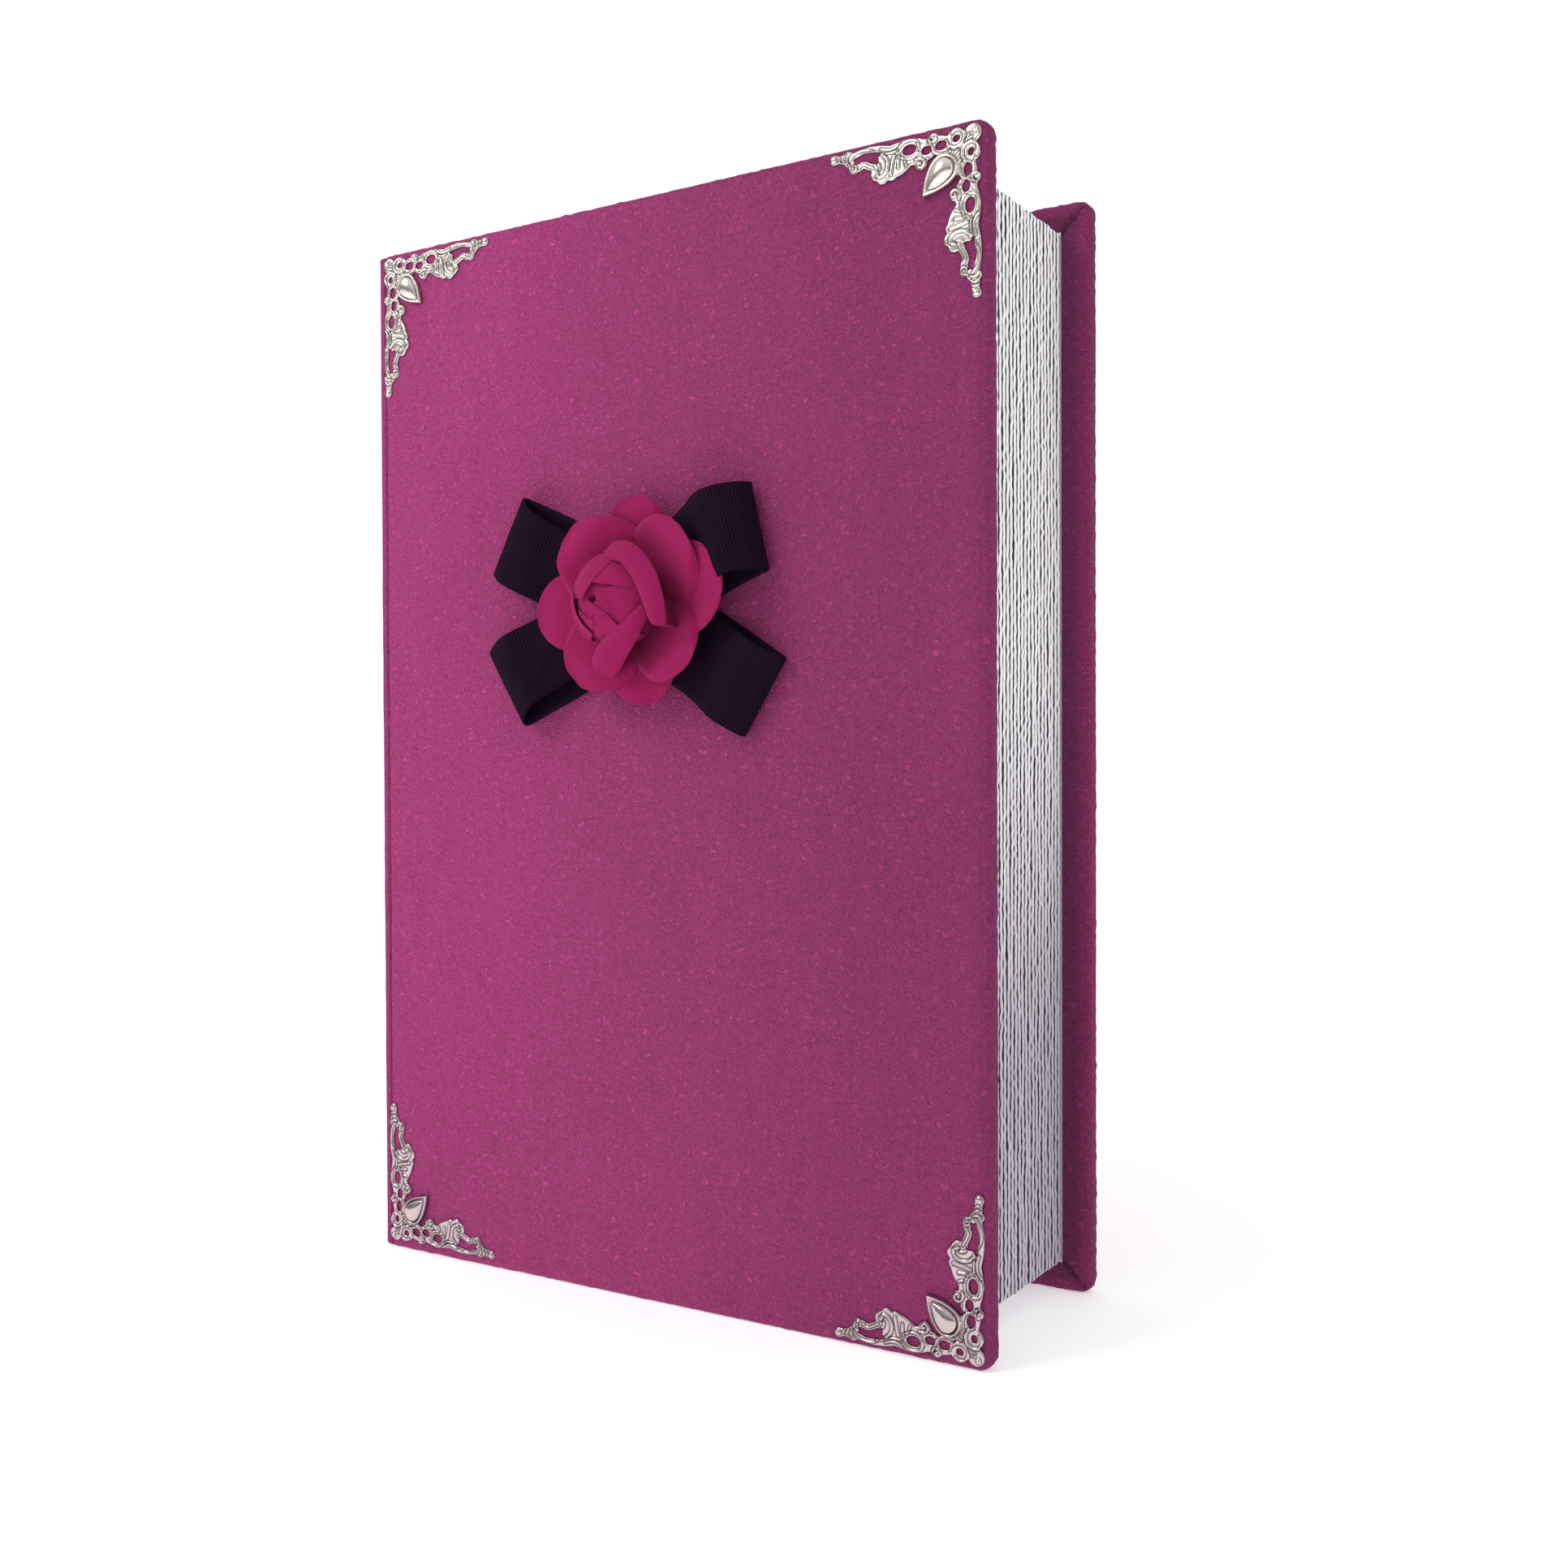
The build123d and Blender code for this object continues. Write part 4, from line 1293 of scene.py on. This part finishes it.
# Direction, length, half width, base, rise, its power, cup, rolled rim and seed.
outer_petals = [
    (93, 30.0, 10.6, 4.2, 4.0, 1.5, 0.8, 1.6, 1), (9, 31.4, 13.0, 4.6, 6.8, 1.4, 1.4, 0.8, 2),
    (274, 29.0, 11.4, 4.3, 4.0, 1.5, 0.8, 1.6, 3), (183.4, 35.6, 11.4, 4.1, 5.0, 1.5, 0.9, 1.6, 4)]
middle_petals = [
    (133, 28.0, 15.0, 6.0, 11.0, 1.7, 1.6, 3.4, 11), (45, 26.8, 15.0, 5.6, 10.0, 1.7, 1.8, 3.0, 12),
    (314, 27.0, 12.7, 5.2, 8.5, 1.7, 1.8, 2.8, 13), (227.5, 29.3, 13.2, 5.5, 7.5, 1.7, 1.4, 2.6, 14)]
for number, shape in enumerate(outer_petals):
    make_petal(f"outer_petal_{number + 1}", f"rose_outer_petal_{number + 1}", 0.8, *shape)
for number, shape in enumerate(middle_petals):
    make_petal(f"middle_petal_{number + 1}", f"rose_middle_petal_{number + 1}", 0.8, *shape)
print("wide petals:", len(outer_petals) + len(middle_petals))

# %% Curled petals beside the bud
def curled_points(path, widths, inner_height, crest, outer_height):
    """A petal whose rim rolls outwards: a bent band carried along a line.

    The section goes straight up on the bud's side, over a low crest and out to a free edge.
    """
    line = smooth_path(path, 0.7)
    share = np.linspace(0, 1, len(line))
    width = np.interp(share, np.linspace(0, 1, len(widths)), widths)
    along = np.gradient(line, axis=0)
    along /= np.linalg.norm(along, axis=1, keepdims=True)
    side = np.stack([along[:, 1], -along[:, 0]], axis=1)
    length = 0.7 * (len(line) - 1)
    near_end = np.clip(np.minimum(share, 1 - share) * length / (width / 2), 0, 1)
    ends = np.sqrt(1 - (1 - near_end) ** 2)
    width = width * ends
    wall = np.linspace(0, 1, 7)[:-1]
    over = np.linspace(0, 1, 13)
    offset = np.concatenate([np.full(6, 0.5), 0.5 - over])
    rounding = 0.9 * np.clip(1 - over / 0.3, 0, 1) ** 2
    rolled = (crest - outer_height) * np.clip((over - 0.3) / 0.7, 0, 1) ** 1.7
    wall_height = inner_height + (crest - 0.9 - inner_height) * wall
    section = np.concatenate([wall_height, crest - rounding - rolled])
    offset = width[:, None] * offset
    points = np.empty((len(line), 19, 3))
    points[..., 0] = line[:, None, 0] + side[:, None, 0] * offset
    points[..., 1] = line[:, None, 1] + side[:, None, 1] * offset
    points[..., 2] = section - 1.6 * (1 - ends[:, None]) * np.linspace(0, 1, 19)
    return points


def make_curled(name, node, area, *shape):
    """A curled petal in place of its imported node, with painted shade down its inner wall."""
    points = curled_points(*shape)
    deep_shade_mark = np.repeat(smoothstep(np.arange(19), 6, 0)[None], len(points), axis=0)
    piece = make_piece(name, place_on_rose(points), grid_faces(*points.shape[:2]), rose_petal,
                       "front_cover", {"deep_shade": deep_shade_mark}, merge=1e-5)
    thicken(piece, 0.7)
    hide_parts(node)


make_curled("curled_petal_right", "rose_inner_petal_1", 0.00050,
            [(-1.9, 13.2), (4.5, 12.6), (9.8, 7.5), (13.2, 1.0), (16.0, -8.0)],
            [4.5, 5.8, 6.4, 6.4, 5.4, 3.4], 8.0, 19.8, 17.2)
make_curled("curled_petal_low", "rose_inner_petal_2", 0.00042,
            [(10.9, -2.4), (5.0, -8.5), (-0.6, -14.0), (-5.6, -20.2)],
            [1.6, 4.2, 7.2, 8.8, 8.6], 8.5, 18.6, 15.6)

# %% Folded bud
bud_middle = np.array([-2.6, 0.2])
bud_peak = np.array([-5.8, -0.1])
bud_radius = 11.4
bud_top = 20.7


def dome_height(places):
    """Height of the bud: it falls gently from the peak and quickly at the round rim.

    The share of the way to the rim is found along each ray from the peak, and the height is the
    top less a gentle and a steep power of that share.
    """
    away = places - bud_peak
    distance = np.maximum(np.hypot(away[..., 0], away[..., 1]), 1e-6)
    gap = bud_peak - bud_middle
    along = (away @ gap) / distance
    reach = -along + np.sqrt(along ** 2 + bud_radius ** 2 - gap @ gap)
    share = np.clip(distance / reach, 0, 1)
    return bud_top - 1.5 * share ** 1.2 - 3.6 * share ** 4


def wrap_on_bud(places, lift):
    """Lay flat places over the dome; what reaches past the rim goes down the wall instead."""
    away = places - bud_middle
    distance = np.maximum(np.hypot(away[..., 0], away[..., 1]), 1e-6)[..., None]
    over = np.maximum(distance - bud_radius, 0.0)
    on_rim = bud_middle + away / distance * np.minimum(distance, bud_radius)
    outward = on_rim + away / distance * (0.8 * lift + 0.35 * np.sin(np.clip(over, 0, 3.14)))
    laid = np.where(over > 0, outward, on_rim)
    height = dome_height(on_rim) + lift * (distance[..., 0] < bud_radius + 1) - over[..., 0]
    return np.concatenate([laid, height[..., None]], axis=-1)


def make_bud():
    """The core of the bud: rays from the peak, over the rim and down to the stem."""
    turn = np.linspace(0, 2 * math.pi, 180, endpoint=False)
    share = np.concatenate([np.linspace(0, 1, 40), np.linspace(1.05, 1.8, 12)])
    ray = np.stack([np.cos(turn), np.sin(turn)], axis=1)
    places = bud_middle + share[:, None, None] * ray[None] * bud_radius
    points = wrap_on_bud(places, 0.0)
    pit = np.hypot(points[..., 0] - bud_peak[0] - 0.3, points[..., 1] - bud_peak[1] - 0.2)
    points[..., 2] -= 2.4 * np.exp(-(pit / 0.9) ** 2)
    points = np.concatenate([points, points[-1:].mean(axis=1, keepdims=True).repeat(180, axis=1)])
    # Painted shade in the bud's pit and down its wall below the rim.
    deep_shade_mark = np.maximum(np.exp(-(pit / 1.3) ** 2), smoothstep(share, 0.97, 1.15)[:, None])
    deep_shade_mark = np.concatenate([deep_shade_mark, deep_shade_mark[-1:]])
    faces = grid_faces(*points.shape[:2], wrap_columns=True)
    piece = make_piece("rose_bud", place_on_rose(points), faces, rose_petal, "front_cover",
                       {"deep_shade": deep_shade_mark}, merge=1e-5)
    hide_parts("rose_bud_wrap_1", "rose_bud_wrap_2", "rose_bud_wrap_3", "rose_bud_core")


down_wall = 6.5


def make_fold(number, start, end, bow, lift):
    """A fold of cloth: from its free edge it runs square to that edge, over the rim and down.

    It lies on the left-hand side of the line from start to end; bow bends the edge outwards.
    """
    start, end = np.array(start), np.array(end)
    run = end - start
    length = np.hypot(*run)
    square = np.array([-run[1], run[0]]) / length
    u = np.linspace(0, 1, 41)
    edge = start + u[:, None] * run + (bow * np.sin(np.pi * u))[:, None] * square
    depth = np.linspace(0, 26.0, 66)
    places = edge[:, None] + depth[None, :, None] * square
    reach = np.hypot(places[..., 0] - bud_middle[0], places[..., 1] - bud_middle[1])
    inner = np.maximum(((reach < bud_radius + down_wall) * depth).max(axis=1), 6.0)
    v = np.linspace(0, 1, 36)
    places = edge[:, None] + (inner[:, None] * v ** 1.1)[..., None] * square
    points = wrap_on_bud(places, lift)
    points[..., 2] += 0.22 * np.exp(-inner[:, None] * v / 0.9)
    piece = make_piece(f"rose_bud_fold_{number}", place_on_rose(points),
                       grid_faces(*points.shape[:2]), rose_petal, "front_cover",
                       {"deep_shade": np.zeros(points.shape[:2])}, merge=1e-5)
    thicken(piece, 0.36)


make_bud()
# The start and end of each free edge, and its bow; the later a fold comes, the higher it lies.
bud_folds = [
    ((-0.2, -4.3), (-6.8, 0.2), 0.2), ((-4.8, -5.9), (-10.3, -2.6), 0.3),
    ((-0.2, -4.3), (-6.5, -9.5), -0.2), ((-0.5, 2.5), (3.4, -8.2), 0.4),
    ((-5.4, 4.6), (10.0, 1.45), 0.3), ((-7.9, -0.5), (0.9, 10.9), 0.3),
    ((-6.5, -9.5), (-12.4, 2.5), 1.4),
]
for number, (start, end, bow) in enumerate(bud_folds):
    make_fold(number + 1, start, end, bow, 0.25 + 0.24 * number)
print("bud folds:", len(bud_folds))

# %% Loose threads at the bud
def thread_points(path, radius):
    """A thin round thread along a line, closed at both ends."""
    line = smooth_path(path, 0.25)
    along = np.gradient(line, axis=0)
    along /= np.linalg.norm(along, axis=1, keepdims=True)
    side = np.cross(along, (0.0, 0.0, 1.0))
    side /= np.linalg.norm(side, axis=1, keepdims=True)
    other = np.cross(along, side)
    turn = np.linspace(0, 2 * math.pi, 6, endpoint=False)
    thin = radius * np.sin(np.linspace(0.0, math.pi, len(line))) ** 0.3
    cos, sin = (part(turn)[None, :, None] for part in (np.cos, np.sin))
    circle = side[:, None] * cos + other[:, None] * sin
    return line[:, None] + circle * thin[:, None, None]


thread_radius = 0.09
threads = [
    [(-3.4, -4.2, 20.2), (-6.4, -4.9, 20.8), (-9.2, -4.3, 20.6), (-11.6, -6.0, 19.6)],
    [(-3.0, -5.0, 20.0), (-6.2, -5.3, 20.6), (-8.8, -5.2, 20.4)],
    [(-4.6, -3.6, 20.4), (-7.4, -3.4, 20.9), (-9.6, -3.9, 20.6)],
]
for number, path in enumerate(threads):
    points = thread_points(path, thread_radius)
    make_piece(f"loose_thread_{number + 1}", place_on_rose(points),
               grid_faces(*points.shape[:2], wrap_columns=True), rose_petal, "front_cover",
               {"deep_shade": np.zeros(points.shape[:2])}, merge=1e-7)
print("rose done")
